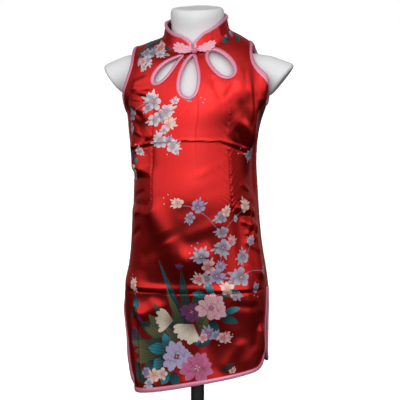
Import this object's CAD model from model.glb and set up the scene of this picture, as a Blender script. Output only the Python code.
# %% [markdown]
# # A child's cheongsam on a dress form
#
# A sleeveless cheongsam of printed red satin hangs on a white dress form.  It has a stand collar that opens
# in a V, a frog of two embroidered leaves and a knot, three keyholes below it, and slits up both sides.
# Every free edge is folded into a pink satin binding.
#
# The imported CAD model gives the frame: a piece made here takes the place of one solid, in metres, with the
# front of the dress facing -Y and the wearer's left at +X.  Each cell explains one step, and the cells run
# in order.

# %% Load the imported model
import math

import bpy
import numpy as np
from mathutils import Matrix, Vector
from mathutils.geometry import delaunay_2d_cdt


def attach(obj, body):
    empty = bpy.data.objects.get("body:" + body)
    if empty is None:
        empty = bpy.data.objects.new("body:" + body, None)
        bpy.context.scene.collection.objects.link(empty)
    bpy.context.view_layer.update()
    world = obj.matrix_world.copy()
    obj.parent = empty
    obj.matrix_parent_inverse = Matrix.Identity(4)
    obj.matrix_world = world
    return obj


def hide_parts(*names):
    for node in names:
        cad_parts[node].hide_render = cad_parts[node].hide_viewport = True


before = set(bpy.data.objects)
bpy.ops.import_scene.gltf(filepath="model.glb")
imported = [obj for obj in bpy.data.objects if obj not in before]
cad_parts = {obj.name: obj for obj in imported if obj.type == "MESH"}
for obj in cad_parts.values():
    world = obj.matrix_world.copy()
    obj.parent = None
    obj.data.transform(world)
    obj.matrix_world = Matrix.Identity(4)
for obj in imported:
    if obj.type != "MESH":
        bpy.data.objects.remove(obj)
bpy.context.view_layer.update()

MM = 0.001
print("nodes:", ", ".join(sorted(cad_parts)))

# %% [markdown]
# ## The camera
#
# A garment is photographed from about the height of its chest, with a long lens, so that its two sides stay
# nearly parallel.  A camera can be placed with three numbers: how far round the object it stands, how high
# it looks down from, and how far off it is.  Blender's camera looks along its own -Z axis, so the rotation
# is built from the way that points back from the object to the camera.

# %% Place the camera
CAMERA_ROUND = math.radians(12)  # towards the wearer's left
CAMERA_HIGH = math.radians(8)
CAMERA_AWAY = 2.2
CAMERA_FIELD = math.radians(16.05)
AIM_HEIGHT = 0.405
AIM_ASIDE = 0.0039  # the dress hangs a little to one side of the picture's middle

to_right = Vector((math.cos(CAMERA_ROUND), math.sin(CAMERA_ROUND), 0))
to_camera = Vector((
    math.sin(CAMERA_ROUND) * math.cos(CAMERA_HIGH),
    -math.cos(CAMERA_ROUND) * math.cos(CAMERA_HIGH),
    math.sin(CAMERA_HIGH),
))


def into_scene(name, data):
    """An object of the scene that holds a camera, a mesh or a lamp."""
    made = bpy.data.objects.new(name, data)
    bpy.context.scene.collection.objects.link(made)
    return made


camera_data = bpy.data.cameras.new("camera")
camera_data.angle = CAMERA_FIELD
camera = into_scene("camera", camera_data)
camera.location = Vector((0, 0, AIM_HEIGHT)) + AIM_ASIDE * to_right + CAMERA_AWAY * to_camera
camera.rotation_euler = to_camera.to_track_quat("Z", "Y").to_euler()
bpy.context.scene.camera = camera
print("camera at", [round(value, 3) for value in camera.location])

# %% [markdown]
# ## Colours and nodes
#
# A colour is easiest to choose as a hex code, as in a paint program.  Blender's shaders add up light, so
# they want linear values, and one function turns the first into the second.  A material is a tree of nodes.
# Clicking them together in the editor is good for trying things out; in code, one small function that adds
# a node, sets its settings and joins its sockets keeps each material readable from top to bottom.

# %% Helpers for colours and nodes
def to_linear(part):
    """One sRGB value as the light that it stands for."""
    return part / 12.92 if part <= 0.04045 else ((part + 0.055) / 1.055) ** 2.4


def colour(hex_code):
    """An sRGB hex code as linear red, green, blue and alpha."""
    parts = [int(hex_code[start:start + 2], 16) / 255 for start in (0, 2, 4)]
    return (*map(to_linear, parts), 1.0)


def set_sockets(tree, node, sockets):
    """Gives each socket a value, or joins another node's output to it."""
    for name, value in sockets.items():
        if isinstance(value, bpy.types.NodeSocket):
            tree.links.new(value, node.inputs[name])
        else:
            node.inputs[name].default_value = value


def add_node(tree, kind, sockets=None, **settings):
    """Adds a node with its settings, its values and its links."""
    made = tree.nodes.new(kind)
    for name, value in settings.items():
        setattr(made, name, value)
    set_sockets(tree, made, sockets or {})
    return made


def start_material(name):
    """A material with an empty tree apart from its shader and output."""
    made = bpy.data.materials.new(name)
    made.use_nodes = True
    return made, made.node_tree, made.node_tree.nodes["Principled BSDF"]


print("satin red is", [round(value, 3) for value in colour("C8201C")])

# %% [markdown]
# ## The shape that the cloth hangs in
#
# A dress on a form is a soft tube.  One way to get it is a cloth simulation, but a simulation drifts away
# from the solids that it must match.  Here the tube is a stack of rings, from the hem to the top of the
# collar.  Each ring is a superellipse: an ellipse whose corners fill out as its power grows.  A smooth
# curve through the rows of the table gives a ring at any height.  The same table shapes the solid model, so
# the fine cloth lies where the solid is.

# %% Rings of the dress
DRESS_COLUMNS = (
    "up", "front_z", "side_z", "back_z", "side", "front", "back", "square", "lift", "shift", "turn",
)
UNSCALED_COLUMNS = ("square", "lift", "turn")
DRESS_RINGS = (
    (0, 126.2, 126.2, 126.2, 103, 64, 69, 2.75, 13, 5.8, 0),  # hem
    (74, 197, 197, 197, 108.5, 66, 74, 2.65, 7.5, 1, 0),  # slits
    (148, 269, 269, 269, 111, 74, 82, 2.45, 3.5, -1.8, 0),  # hips
    (220, 340, 340, 340, 102, 86, 78, 2.3, 3, -3, 0),  # seat
    (300, 420, 420, 420, 97, 93, 65, 2.25, 3, -4, 0),  # belly
    (350, 470, 470, 470, 95.5, 89, 60, 2.25, 3.5, -4.5, 0),  # waist
    (400, 519, 519, 519, 101, 85.5, 66, 2.25, 4, -4, 0),  # ribs
    (432, 551, 551, 551, 108, 83, 70, 2.3, 4, -0.5, 0),  # underarm
    (468, 583, 585, 586, 118.5, 77, 73, 2.3, 4, -3, 0),  # chest
    (497, 606, 616.5, 618, 111, 68, 70, 2.2, 3, -6, 1.5),  # yoke
    (519, 621, 641, 643, 93, 58, 62, 2.1, 2.5, -7, 3),  # shoulder point
    (536, 629, 652.5, 660, 71.5, 51, 54, 2.05, 4, -4.5, 4),  # mid shoulder
    (550, 635, 661, 672, 52, 46.8, 48.8, 2, 5, -1.8, 5),  # neckline
    (563, 646.5, 672, 684, 48.2, 44.8, 47.2, 2, 5, -1.8, 5),  # middle of the collar
    (575.5, 658.5, 683, 695, 46.2, 43.4, 46.2, 2, 5, -1.8, 5),  # top of the collar
)
FORM_COLUMNS = ("up", "front_z", "side_z", "back_z", "side", "front", "back", "square", "shift")
FORM_RINGS = (
    (0, 236, 236, 236, 97.5, 60, 68, 2.3, -1.2),  # lower edge
    (12, 248, 248, 248, 105, 66.5, 74.5, 2.3, -1.2),  # hips
    (60, 296, 296, 296, 101.5, 72.5, 76.5, 2.25, -1.6),  # seat
    (120, 356, 356, 356, 94.5, 80.5, 69.5, 2.2, -2.6),  # lower belly
    (184, 420, 420, 420, 90, 86.5, 58.5, 2.2, -3.6),  # belly
    (234, 470, 470, 470, 88.5, 82.5, 54, 2.2, -4.4),  # waist
    (284, 519, 519, 519, 94.5, 79, 60, 2.2, -4),  # ribs
    (318, 551, 551, 551, 101.5, 75.5, 64, 2.2, -2.4),  # chest
    (352, 582, 583, 584, 103, 70.5, 67, 2.2, -2),  # upper chest
    (382, 601, 607, 608, 96, 62.5, 65, 2.15, -2),  # yoke
    (404, 616, 630, 634, 83, 53, 57, 2.1, -2),  # shoulders
    (421, 625, 643.5, 651, 63, 45, 49, 2.05, -0.8),  # slope of the shoulders
    (436, 635, 654, 665, 44, 39.5, 42.2, 2, 0),  # foot of the neck
    (456, 660, 672, 682, 39.8, 37.2, 39.2, 2, 0),  # neck
    (483, 693.5, 697, 700.5, 40.2, 37.8, 39.4, 2, 0),  # rim
    (487, 696.8, 700.6, 704.4, 38.6, 35.8, 37.5, 2, 0),  # top of the neck
)


def full_turn(count):
    """Angles in even steps once round, without the first one again at the end."""
    return np.linspace(0, 2 * math.pi, count + 1)[:-1]


def read_rings(columns, rows):
    """A table in millimetres and degrees as arrays in metres; a column that it doesn't have is zero."""
    table = {name: np.zeros(len(rows)) for name in DRESS_COLUMNS}
    for name, values in zip(columns, zip(*rows)):
        table[name] = np.array(values) * (1 if name in UNSCALED_COLUMNS else MM)
    return table


def between_rings(table, name, up):
    """A column's value at each height, on a curve through its rows whose slope is each row's own."""
    ups, values = table["up"], table[name]
    slopes = np.gradient(values, ups)
    low = np.clip(np.searchsorted(ups, up, side="right") - 1, 0, len(ups) - 2)
    span = ups[low + 1] - ups[low]
    part = np.clip((up - ups[low]) / span, -0.2, 1.2)
    square, cube = part**2, part**3
    return (
        (2 * cube - 3 * square + 1) * values[low]
        + (cube - 2 * square + part) * span * slopes[low]
        + (3 * square - 2 * cube) * values[low + 1]
        + (cube - square) * span * slopes[low + 1]
    )


def ring_point(table, angle, up):
    """Points of the rings.  Angle 0 is the centre front, and a quarter turn is the wearer's left."""
    at = {name: between_rings(table, name, up) for name in DRESS_COLUMNS[1:]}
    if angle.ndim > up.ndim:
        at = {name: value[:, None] for name, value in at.items()}
    angle = angle + np.radians(at["turn"])
    ahead, aside = np.cos(angle), np.sin(angle)
    power = 2 / at["square"]
    depth = np.where(ahead >= 0, at["front"], at["back"])
    middle_z = np.where(ahead >= 0, at["front_z"], at["back_z"])
    x = at["side"] * np.sign(aside) * np.abs(aside) ** power
    y = -depth * np.sign(ahead) * np.abs(ahead) ** power
    z = at["side_z"] + (middle_z - at["side_z"]) * np.abs(ahead) ** 1.5 + x * np.tan(np.radians(at["lift"]))
    return np.stack([x + at["shift"], y, z], axis=-1)


DRESS = read_rings(DRESS_COLUMNS, DRESS_RINGS)
FORM = read_rings(FORM_COLUMNS, FORM_RINGS)
print("rings of the dress:", len(DRESS_RINGS), "and of the form:", len(FORM_RINGS))

# %% [markdown]
# ## From the flat cut to the worn cloth
#
# A dressmaker draws a panel flat: so far from its middle line, and so far up.  Everything on the panel, its
# edge, its print and its stitches, is laid out in those two distances, and one function says where each
# place lies on the wearer.  It measures round the ring from the middle line, so the cloth isn't stretched
# sideways, and a printed flower keeps its shape over the curve of the body.

# %% Put flat places on the wearer
FACINGS = {"front": 0.0, "back": math.pi}
RING_SAMPLES = 24  # of a quarter ring, to measure along it
NECKLINE = 0.550  # top of the panels, up the cloth from the hem
SMALL = 0.0004  # step over which a slope is measured


def measured(angles, up):
    """The distance round the ring at each of its angles."""
    points = ring_point(DRESS, angles, up)
    lengths = np.linalg.norm(np.diff(points, axis=1), axis=2)
    return np.concatenate([np.zeros((len(up), 1)), np.cumsum(lengths, axis=1)], axis=1)


def quarter_ring(facing, side, up):
    """Angles from a panel's middle line to a side line, and the distance round the ring at each."""
    steps = np.linspace(0, math.pi / 2, RING_SAMPLES + 1)
    turn = side if facing == "front" else -side
    angles = FACINGS[facing] + turn[:, None] * steps[None, :]
    return angles, measured(angles, up)


def whole_ring(up):
    """The same all round, from the centre front past the wearer's left: the collar is one strip."""
    steps = np.linspace(0, 2 * math.pi, 4 * RING_SAMPLES + 1)
    angles = np.repeat(steps[None, :], len(up), axis=0)
    return angles, measured(angles, up)


COLLAR_LENGTH = whole_ring(np.array([NECKLINE]))[1][0, -1]


def half_width(facing, side, up):
    """From the middle line to the side line, round the ring."""
    up = np.atleast_1d(np.asarray(up, float))
    return quarter_ring(facing, np.full(len(up), side), up)[1][:, -1]


def place(facing, across, up):
    """Where a place on the flat cloth lies on the wearer, and how far it is from the side line."""
    if facing == "collar":
        angles, lengths = whole_ring(up)
        reach = across / COLLAR_LENGTH * lengths[:, -1]
    else:
        angles, lengths = quarter_ring(facing, np.where(across >= 0, 1.0, -1.0), up)
        reach = np.abs(across)
    index = (lengths[:, 1:] < reach[:, None]).sum(axis=1).clip(0, lengths.shape[1] - 2)
    rows = np.arange(len(up))
    part = (reach - lengths[rows, index]) / (lengths[rows, index + 1] - lengths[rows, index])
    angle = angles[rows, index] + part * (angles[rows, index + 1] - angles[rows, index])
    return ring_point(DRESS, angle, up), lengths[:, -1] - reach


print("collar length round the neckline: %.0f mm" % (COLLAR_LENGTH / MM))

# %% [markdown]
# ## Folds and creases
#
# Satin shows every bend.  This dress has been folded in its packet, so two creases run across it, and it
# drags from the armholes, the hips and the darts.  Folds could come from a simulation or be sculpted by
# hand.  Here each one is a row of a table in millimetres: where its line starts on the flat cloth, across
# and up, and where it ends, how wide its slope is, and how high it stands, below zero for a hollow.  The
# largest are in the solid model too.  The fine ones are only here, and no two have the same length, depth
# or spacing, as real creases never do.

# %% The soft folds
FRONT_FOLDS = (  # from across, from up, to across, to up, half width, height
    (-98, 430, -54, 427, 14, 3.4),  # the cloth stands out over the right ribs
    (76, 418, 134, 358, 8, 1),  # pull from the left breast to the side
    (-125, 160, 125, 156, 7, 1.8),  # packing crease over the slits
    (-52, 292, -26, 240, 17, 4),  # the belly's slack ends on a slant
    (-30, 246, 6, 172, 18, 4.2),
    (-88, 118, -38, 127, 11, 3.4),  # puff below the crease
    (-6, 205, 44, 211, 18, 4.2),  # the foot of the belly
    (-90, 392, -90, 334, 16, 5),  # slack over the right waist
    (-58, 392, -56, 340, 15, -3),
    (92, 486, 112, 350, 14, 4.6),  # the left breast panel stands out
    (70, 406, 124, 394, 20, 3),
    (89, 286, 94, 160, 14, -3.6),  # slack at the left hip
    (125, 256, 131, 160, 12, 3.6),
    (26, 135, 108, 135, 60, 5.5),  # the left thigh, from which the skirt falls inward
    (117, 85, 124, 24, 7, 3),  # the edge of the left slit stands out
    (-124, 0, -127, 132, 8, -2.6),  # hollow beside the right slit
    (-135, -40, -149, 152, 7.5, 4.4),  # whose edge stands out
    (-135, -40, -141, 70, 7, 2.4),
    (-101, 4, -99, 120, 6, 2),
    (88, 10, 66, 100, 14, 1.4),  # soft fold above the left corner
    (40, 4, 30, 110, 15, -1.8),
    (-35, 4, -30, 100, 14, 1.6),
    (-92, 474, -48, 458, 7, 3),  # drags below the armholes
    (-100, 446, -62, 434, 7, 2.4),
    (105, 440, 115, 328, 14, 4.2),  # and hangs straight from there
    (125, 512, 119, 424, 11, 10),  # the cloth stands out below the left armhole
    (126, 275, 105, 235, 6, 2.4),  # drags at the left hip
    (128, 255, 112, 222, 5, 2),
)
BACK_FOLDS = (
    (-104, 161, 118, 159, 7, 1.8),  # packing crease over the slits
    (-60, 345, 66, 352, 9, 3),  # drags across the small of the back
    (-70, 322, 52, 330, 8, -2.4),
    (70, 10, 52, 120, 13, 3),  # soft folds of the skirt
    (15, 6, 10, 110, 14, -2.8),
    (-55, 6, -45, 105, 13, 2.6),
    (100, 448, 72, 430, 6, 2.2),
    (-102, 452, -70, 436, 6, 2.4),
)
print("soft folds:", len(FRONT_FOLDS), "in front and", len(BACK_FOLDS), "behind")

# %% The fine creases
FRONT_CREASES = (
    (-100, 375.5, -48, 385.5, 2.2, 0.8),  # packing crease over the ribs, in four runs
    (-60, 384.5, 12, 387.5, 1.9, 0.7), (0, 387.5, 62, 382.5, 1.7, 0.6), (54, 384.5, 118, 360, 2.4, 1),
    (-96, 371.5, -40, 381, 2.4, -0.6), (60, 378, 112, 356, 2.6, -0.7),
    (-104, 152, -34, 154.5, 2.4, -1),  # packing crease over the slits, in three runs
    (-44, 152, 62, 150, 2, -1.2), (50, 150, 128, 145, 2.2, -1.2), (-92, 161, -20, 160, 3.6, 0.9),
    (40, 156, 118, 152, 3, 0.8),
    (20.5, 470, 22.5, 350, 1.6, 0.4),  # pressed line down the middle
    (18, 460, 19, 365, 3, -0.3),
    (-80, 140, -88.5, 4, 1.6, 1.3),  # pressed line down the right of the skirt
    (-85, 138, -93.5, 4, 3.4, -1.2),
    (-88, 478, -60, 488, 4, 1.1),  # drags from the right armhole
    (-86, 466, -50, 470, 3.4, -1), (-94, 455, -54, 449, 4.6, 1.4), (-97, 438, -70, 422, 4, -1.2),
    (-98, 420, -76, 400, 5, 1.2), (-72, 458, -58, 430, 3.6, -0.8),
    (38, 488, 56, 442, 5.8, -1.2),  # V below the left keyhole
    (76, 472, 58, 444, 4.6, -0.8),
    (80, 500, 84, 430, 6, 0.8),  # falls below the left armhole
    (91, 488, 92, 405, 3, -0.8), (98, 470, 98, 400, 2.6, 0.7), (105, 468, 103, 400, 2.6, -0.7),
    (112, 455, 108, 398, 2.6, 0.7),
    (88, 412, 108, 372, 5, 1.4),  # the dart's pull to the left side
    (80, 400, 100, 366, 3.6, -1.2), (95, 392, 116, 340, 4.4, -1), (-95, 404, -70, 396, 3, 1),
    (-96, 376, -62, 388, 3.8, 1.2), (-98, 362, -60, 372, 4.4, -1), (-100, 330, -70, 344, 5, 1),
    (-102, 300, -66, 310, 4.6, -1), (-104, 270, -70, 286, 5, 1.1), (-106, 236, -76, 252, 5.4, -1),
    (96, 316, 124, 300, 4, 1.2),  # drags at the left hip
    (88, 290, 128, 283, 3.2, -1.2), (84, 281, 130, 270, 4, 1.6), (92, 268, 132, 258, 3.4, -1.4),
    (94, 259, 134, 243, 3.8, 1.5), (100, 246, 136, 230, 4, -1.2), (98, 228, 134, 205, 5, 1.2),
    (10, 300, 74, 318, 9, -0.3),  # slack across the belly
    (-10, 276, 36, 290, 10, -0.5), (20, 330, 66, 352, 6, 0.3), (-78, 205, -20, 232, 10, -0.7),
    (0, 240, 60, 262, 10, 1),
    (-96, 132, -62, 104, 9, 1.8),  # puff between the crease and the right slit
    (-62, 140, -30, 128, 8, 1.2), (90, 196, 132, 168, 8, 1.4), (104, 140, 118, 100, 9, 0.7),
    (112, 90, 100, 40, 8, -0.9), (82, 66, 48, 16, 10, 1.4), (20, 20, 12, 80, 8, 1),
    (-12, 10, -4, 60, 7, -0.8), (-60, 12, -56, 70, 7, -0.9), (66, 130, 112, 118, 7, -1),
)
BACK_CREASES = (
    (-90, 389.5, 84, 386, 1.6, -1),  # pressed lines of the packing creases
    (-86, 393, 80, 389.5, 2.8, 0.7), (-108, 154.5, 104, 150, 1.8, -1.1),
    (-104, 159.5, 100, 155.5, 3.6, 1.3),
    (1.5, 520, 1, 390, 1.6, 0.4),  # pressed line down the middle
    (86, 474, 52, 462, 4.6, 1.3),  # drags from the armholes
    (92, 452, 56, 446, 4, -1.1), (-88, 470, -50, 480, 4.4, 1.2), (-94, 448, -60, 438, 3.8, -1.1),
    (-96, 428, -64, 408, 4.6, 1.2), (98, 422, 70, 398, 5, 1.2),
    (-80, 372, 30, 366, 6, -1.3),  # folds above the seat
    (-40, 360, 84, 368, 5.2, 1.2), (-88, 338, -10, 330, 5.8, 1.4), (6, 338, 92, 330, 6.2, -1.2),
    (-30, 312, 80, 304, 7, 1.2), (-94, 300, -30, 292, 6.4, -1.2), (100, 286, 66, 262, 5, 1.3),
    (-106, 276, -74, 256, 4.8, 1.3), (110, 258, 80, 240, 4, -1.1), (-110, 248, -86, 226, 4.4, -1.1),
    (-70, 230, -12, 214, 11, 1.2), (10, 222, 76, 208, 12, -1.3),
    (98, 132, 74, 60, 8, 1.5),  # falls of the skirt
    (40, 130, 32, 20, 9, 1.4), (-20, 120, -26, 16, 8, -1.2), (-84, 128, -80, 30, 8, -1.4),
    (-104, 110, -98, 30, 6.4, 1.2),
)
COLLAR_CREASES = (
    (28, 551, 31, 568, 2.2, 0.5),  # where the stiffening has cracked
    (38, 551, 37, 572, 3, -0.5), (52, 552, 49, 571, 2.6, 0.5), (71, 551, 74, 566, 3.4, -0.4),
    (128, 551, 124, 570, 3.2, 0.5), (186, 552, 190, 572, 3.6, -0.5), (244, 551, 240, 566, 3, 0.4),
    (276, 551, 279, 571, 2.8, -0.5),
)
for where, rows in (("front", FRONT_CREASES), ("back", BACK_CREASES), ("collar", COLLAR_CREASES)):
    print("fine creases,", where + ":", len(rows))

# %% [markdown]
# The darts are sewn tucks: the cloth sinks into the seam line and puckers along the stitches.  The side
# seams pucker too, and the cloth rolls down into them.  A pucker is a short wave along a line, and it dies
# away from the line.  Its spacing has a slow wander, so that it doesn't look like a zip.

# %% Darts, puckers and seams
DARTS = {  # from across, from up, to across, to up, depth and pucker, in metres
    "front": (
        (-0.0510, 0.466, -0.0500, 0.276, 0.0011, 0.00018),
        (0.0660, 0.450, 0.0715, 0.372, 0.0006, 0.00010),
        (0.0710, 0.376, 0.0790, 0.270, 0.0008, 0.00038),
    ),
    "back": (
        (-0.0480, 0.440, -0.0520, 0.268, 0.0009, 0.00024),
        (0.0500, 0.438, 0.0540, 0.270, 0.0009, 0.00022),
    ),
}
DART_WIDTH = 0.0014
TURNS = {  # from across, from up, to across, to up, depth, reach and side
    "front": (
        (-0.0490, 0.338, -0.0500, 0.280, 0.0042, 0.011, 1),
        (-0.0480, 0.288, -0.0560, 0.170, 0.0024, 0.016, 1),
        (0.0710, 0.376, 0.0785, 0.286, 0.0040, 0.014, -1),
    ),
    "back": (),
}
PUCKER_SPACING = 0.0092
PUCKER_REACH = 0.0075
PUCKER_SLANT = 1.0
SEAM_DEPTH = 0.0009
SEAM_WIDTH = 0.0016
SIDE_PUCKER = 0.00055
SIDE_SHIFT = 0.31  # along the left seam's puckers, so that the two sides differ
FOLD_FADE = 0.016  # from the side seam, where folds die away
CREASE_FADE = 0.006
TOP_FADE = 0.03  # the same below the neckline, and above the slit for the side seam
CREASE_TOP_FADE = 0.010
SLIT_TOP = 0.148  # up the panel from the hem
FOLDS = {"front": np.array(FRONT_FOLDS) * MM, "back": np.array(BACK_FOLDS) * MM, "collar": ()}
CREASES = {
    "front": np.array(FRONT_CREASES) * MM,
    "back": np.array(BACK_CREASES) * MM,
    "collar": np.array(COLLAR_CREASES) * MM,
}


def smooth_step(value):
    """From 0 to 1 along an S, level at both ends."""
    value = np.clip(value, 0, 1)
    return value * value * (3 - 2 * value)


def line_frame(row, across, up):
    """How far along a row's line each place is, from 0 to 1, and how far off it."""
    from_across, from_up, to_across, to_up = row[:4]
    run = np.array([to_across - from_across, to_up - from_up])
    length = np.hypot(run[0], run[1])
    along = ((across - from_across) * run[0] + (up - from_up) * run[1]) / length**2
    off = ((across - from_across) * run[1] - (up - from_up) * run[0]) / length
    return along, off, length


def raised(rows, across, up):
    """The height of all the folds or creases of a table."""
    total = np.zeros_like(across)
    for row in rows:
        along, off, _ = line_frame(row, across, up)
        fade = smooth_step((along + 0.08) / 0.3) * smooth_step((1.08 - along) / 0.3)
        total += row[5] * np.exp(-((off / row[4]) ** 2)) * fade
    return total


def puckered(run, off, reach):
    """A short slanting wave along a stitched line, whose spacing and strength wander."""
    run = run + PUCKER_SLANT * np.abs(off)
    wander = 1.9 * np.sin(run * 61) + 1.3 * np.sin(run * 143 + 1)  # waves that never fall into step
    strength = 0.62 + 0.38 * np.sin(run * 97 + 2) * np.sin(run * 41)
    wave = np.sin(2 * math.pi * run / PUCKER_SPACING + wander)
    return wave * strength * np.exp(-np.abs(off) / reach)


def turned_away(rows, across, up):
    """Where the cloth turns away from the front at a dart and lies lower beyond it."""
    total = np.zeros_like(across)
    for row in rows:
        along, off, _ = line_frame(row, across, up)
        beyond = np.maximum(off * row[6], 0) / row[5]
        fade = smooth_step((along + 0.12) / 0.3) * smooth_step((1.10 - along) / 0.25)
        total -= row[4] * (1 - np.exp(-beyond)) * fade
    return total


def fold_height(facing, across, up, room):
    """How far folds, creases, darts and seams move the cloth out from the smooth tube."""
    seam = np.maximum(smooth_step(room / FOLD_FADE), smooth_step((SLIT_TOP - up) / TOP_FADE))
    total = raised(FOLDS[facing], across, up) * seam * smooth_step((NECKLINE - up) / TOP_FADE)
    if facing == "collar":
        return total + raised(CREASES[facing], across, up)
    edge = smooth_step(room / CREASE_FADE) * smooth_step((NECKLINE - up) / CREASE_TOP_FADE)
    total += raised(CREASES[facing], across, up) * edge
    for row in DARTS[facing]:
        along, off, length = line_frame(row, across, up)
        fade = smooth_step((along + 0.02) / 0.12) * smooth_step((1.02 - along) / 0.12)
        total -= row[4] * np.exp(-np.abs(off) / DART_WIDTH) * fade
        total += row[5] * puckered(along * length, off, PUCKER_REACH) * fade
    total += turned_away(TURNS[facing], across, up) * seam
    sewn = smooth_step((up - SLIT_TOP) / 0.006) * smooth_step((NECKLINE - up) / 0.008)
    total -= SEAM_DEPTH * np.exp(-np.abs(room) / SEAM_WIDTH) * sewn
    run = up + np.where(across >= 0, SIDE_SHIFT, 0.0)
    total += SIDE_PUCKER * puckered(run, room, PUCKER_REACH) * sewn * smooth_step(room / 0.001)
    return total


def worn_frame(facing, across, up):
    """The point on the smooth tube, the ways across, up and out there, and the room to the side line."""
    here, room = place(facing, across, up)
    to_left = (place(facing, across + SMALL, up)[0] - place(facing, across - SMALL, up)[0]) / (2 * SMALL)
    upward = (place(facing, across, up + SMALL)[0] - place(facing, across, up - SMALL)[0]) / (2 * SMALL)
    outward = np.cross(to_left, upward)
    if facing == "back":
        outward = -outward
    outward /= np.linalg.norm(outward, axis=1)[:, None]
    return here, to_left, upward, outward, room


def cloth(facing, across, up, out=0.0):
    """Points on the worn cloth, a distance out from its middle."""
    across, up = np.asarray(across, float), np.asarray(up, float)
    here, _, _, outward, room = worn_frame(facing, across, up)
    height = fold_height(facing, across, up, room) + out
    return here + outward * np.broadcast_to(height, up.shape)[:, None]


def cloth_and_normals(facing, across, up):
    """Points at the middle of the cloth and its true normals, for clean reflections on fine folds."""
    here, to_left, upward, outward, room = worn_frame(facing, across, up)
    height = fold_height(facing, across, up, room)
    step = SMALL / 2
    by_across = (
        fold_height(facing, across + step, up, room - step * np.sign(across))
        - fold_height(facing, across - step, up, room + step * np.sign(across))
    ) / (2 * step)
    by_up = (
        fold_height(facing, across, up + step, room) - fold_height(facing, across, up - step, room)
    ) / (2 * step)
    tilt = by_across[:, None] * to_left / (to_left**2).sum(axis=1)[:, None]
    tilt += by_up[:, None] * upward / (upward**2).sum(axis=1)[:, None]
    normals = outward - tilt
    normals /= np.linalg.norm(normals, axis=1)[:, None]
    return here + outward * height[:, None], normals


waist = cloth("front", np.array([0.0]), np.array([0.350]))[0]
print("the waist's centre front is at", [round(float(value), 4) for value in waist])

# %% [markdown]
# ## The cut
#
# Both panels are cut to the same pattern: curved armholes, a slit up each side and round lower corners.
# The front has three keyholes shaped like drops.  Curved edges are worked out by formulas and then given
# points an even distance apart, which keeps the triangles near them regular.

# %% Lines of the cut
EDGE_STEP = 0.0022  # between two points along an edge
LINE_SAMPLES = 80  # of a curve, before its points are spaced
ARMHOLE_SAMPLES = 121
CORNER_SAMPLES = 24
KEYHOLE_SAMPLES = 360
SLIT_INSET_TOP = 0.0026  # of the slit's edge from the side line
SLIT_INSET_HEM = {  # the same at the hem
    ("front", 1.0): 0.0150,
    ("front", -1.0): 0.0050,
    ("back", 1.0): 0.0040,
    ("back", -1.0): 0.0050,
}
HEM_CORNER = 0.030  # radius of the round corners
UNDERARM = 0.432
SHOULDER = 0.5205
SIDES = (("left", 1.0), ("right", -1.0))
ARMHOLE_CURVES = {  # depth of the hollow, and how far above its middle the deepest place is
    ("front", 1.0): (0.0375, 0.18),
    ("front", -1.0): (0.0520, 0.06),
    ("back", 1.0): (0.0430, 0.10),
    ("back", -1.0): (0.0440, 0.10),
}
KEYHOLES = (  # across, below the neckline, lean, length, width, and how full the tip is
    ("keyhole_binding_centre", 0.0030, 0.0075, 2.5, 0.0690, 0.0365, 0.27),
    ("keyhole_binding_left", 0.0276, 0.0066, 46.0, 0.0590, 0.0272, 0.52),
    ("keyhole_binding_right", -0.0145, 0.0075, -37.5, 0.0560, 0.0225, 0.30),
)
KEYHOLES_END = UNDERARM - 0.05  # up the panel, below all of them
BINDING_WIDTH = 0.0054
KEYHOLE_BINDING_WIDTH = 0.0044
GAP = 0.0003  # between pieces that would touch


def run_of(points):
    """How far along a line each of its points lies."""
    return np.concatenate([[0], np.cumsum(np.linalg.norm(np.diff(points, axis=0), axis=1))])


def spaced(points, step=EDGE_STEP):
    """The same line with points an even distance apart, keeping its two ends."""
    points = np.asarray(points, float)
    lengths = run_of(points)
    at = np.linspace(0, lengths[-1], max(2, round(lengths[-1] / step) + 1))
    return np.stack([np.interp(at, lengths, points[:, axis]) for axis in (0, 1)], axis=1)


def armhole_line(facing, side):
    """The armhole from its foot at the side seam up to the shoulder seam."""
    depth, above = ARMHOLE_CURVES[facing, side]
    turn = np.linspace(0, math.pi, ARMHOLE_SAMPLES)
    inward = depth * np.sin(turn) * (1 - above * np.sin(2 * turn))
    up = UNDERARM + (SHOULDER - UNDERARM) * (1 - np.cos(turn)) / 2
    across = side * (half_width(facing, side, up) - np.maximum(inward, 0.0))
    return spaced(np.stack([across, up], axis=1))


def side_line(facing, side, low, high, inset_low=0.0, inset_high=0.0):
    """A line up the side of a panel, an inset inside the side line."""
    ups = np.linspace(low, high, LINE_SAMPLES)
    inset = np.interp(ups, [low, high], [inset_low, inset_high])
    return spaced(np.stack([side * (half_width(facing, side, ups) - inset), ups], axis=1))


def hem_line(facing):
    """The free edge from the slit's top on the wearer's right, round the hem, to the top on the left."""
    sides = []
    turn = np.linspace(0, math.pi / 2, CORNER_SAMPLES)[:-1]
    for side in (-1.0, 1.0):
        inset = SLIT_INSET_HEM[facing, side]
        slit = side_line(facing, side, HEM_CORNER, SLIT_TOP - 2 * GAP, inset, SLIT_INSET_TOP)
        foot = abs(slit[0, 0])
        corner_across = side * (foot - HEM_CORNER + HEM_CORNER * np.sin(turn))
        corner = np.stack([corner_across, HEM_CORNER - HEM_CORNER * np.cos(turn)], axis=1)
        sides.append(np.concatenate([corner, slit]))
    return spaced(np.concatenate([sides[0][::-1], sides[1]]))


def up_below_neckline(distance):
    """How far up the cloth a place lies that is so far below the neckline, down the centre front."""
    ups = np.linspace(NECKLINE, KEYHOLES_END, LINE_SAMPLES)
    return np.interp(distance, run_of(ring_point(DRESS, np.zeros(LINE_SAMPLES), ups)), ups)


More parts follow.
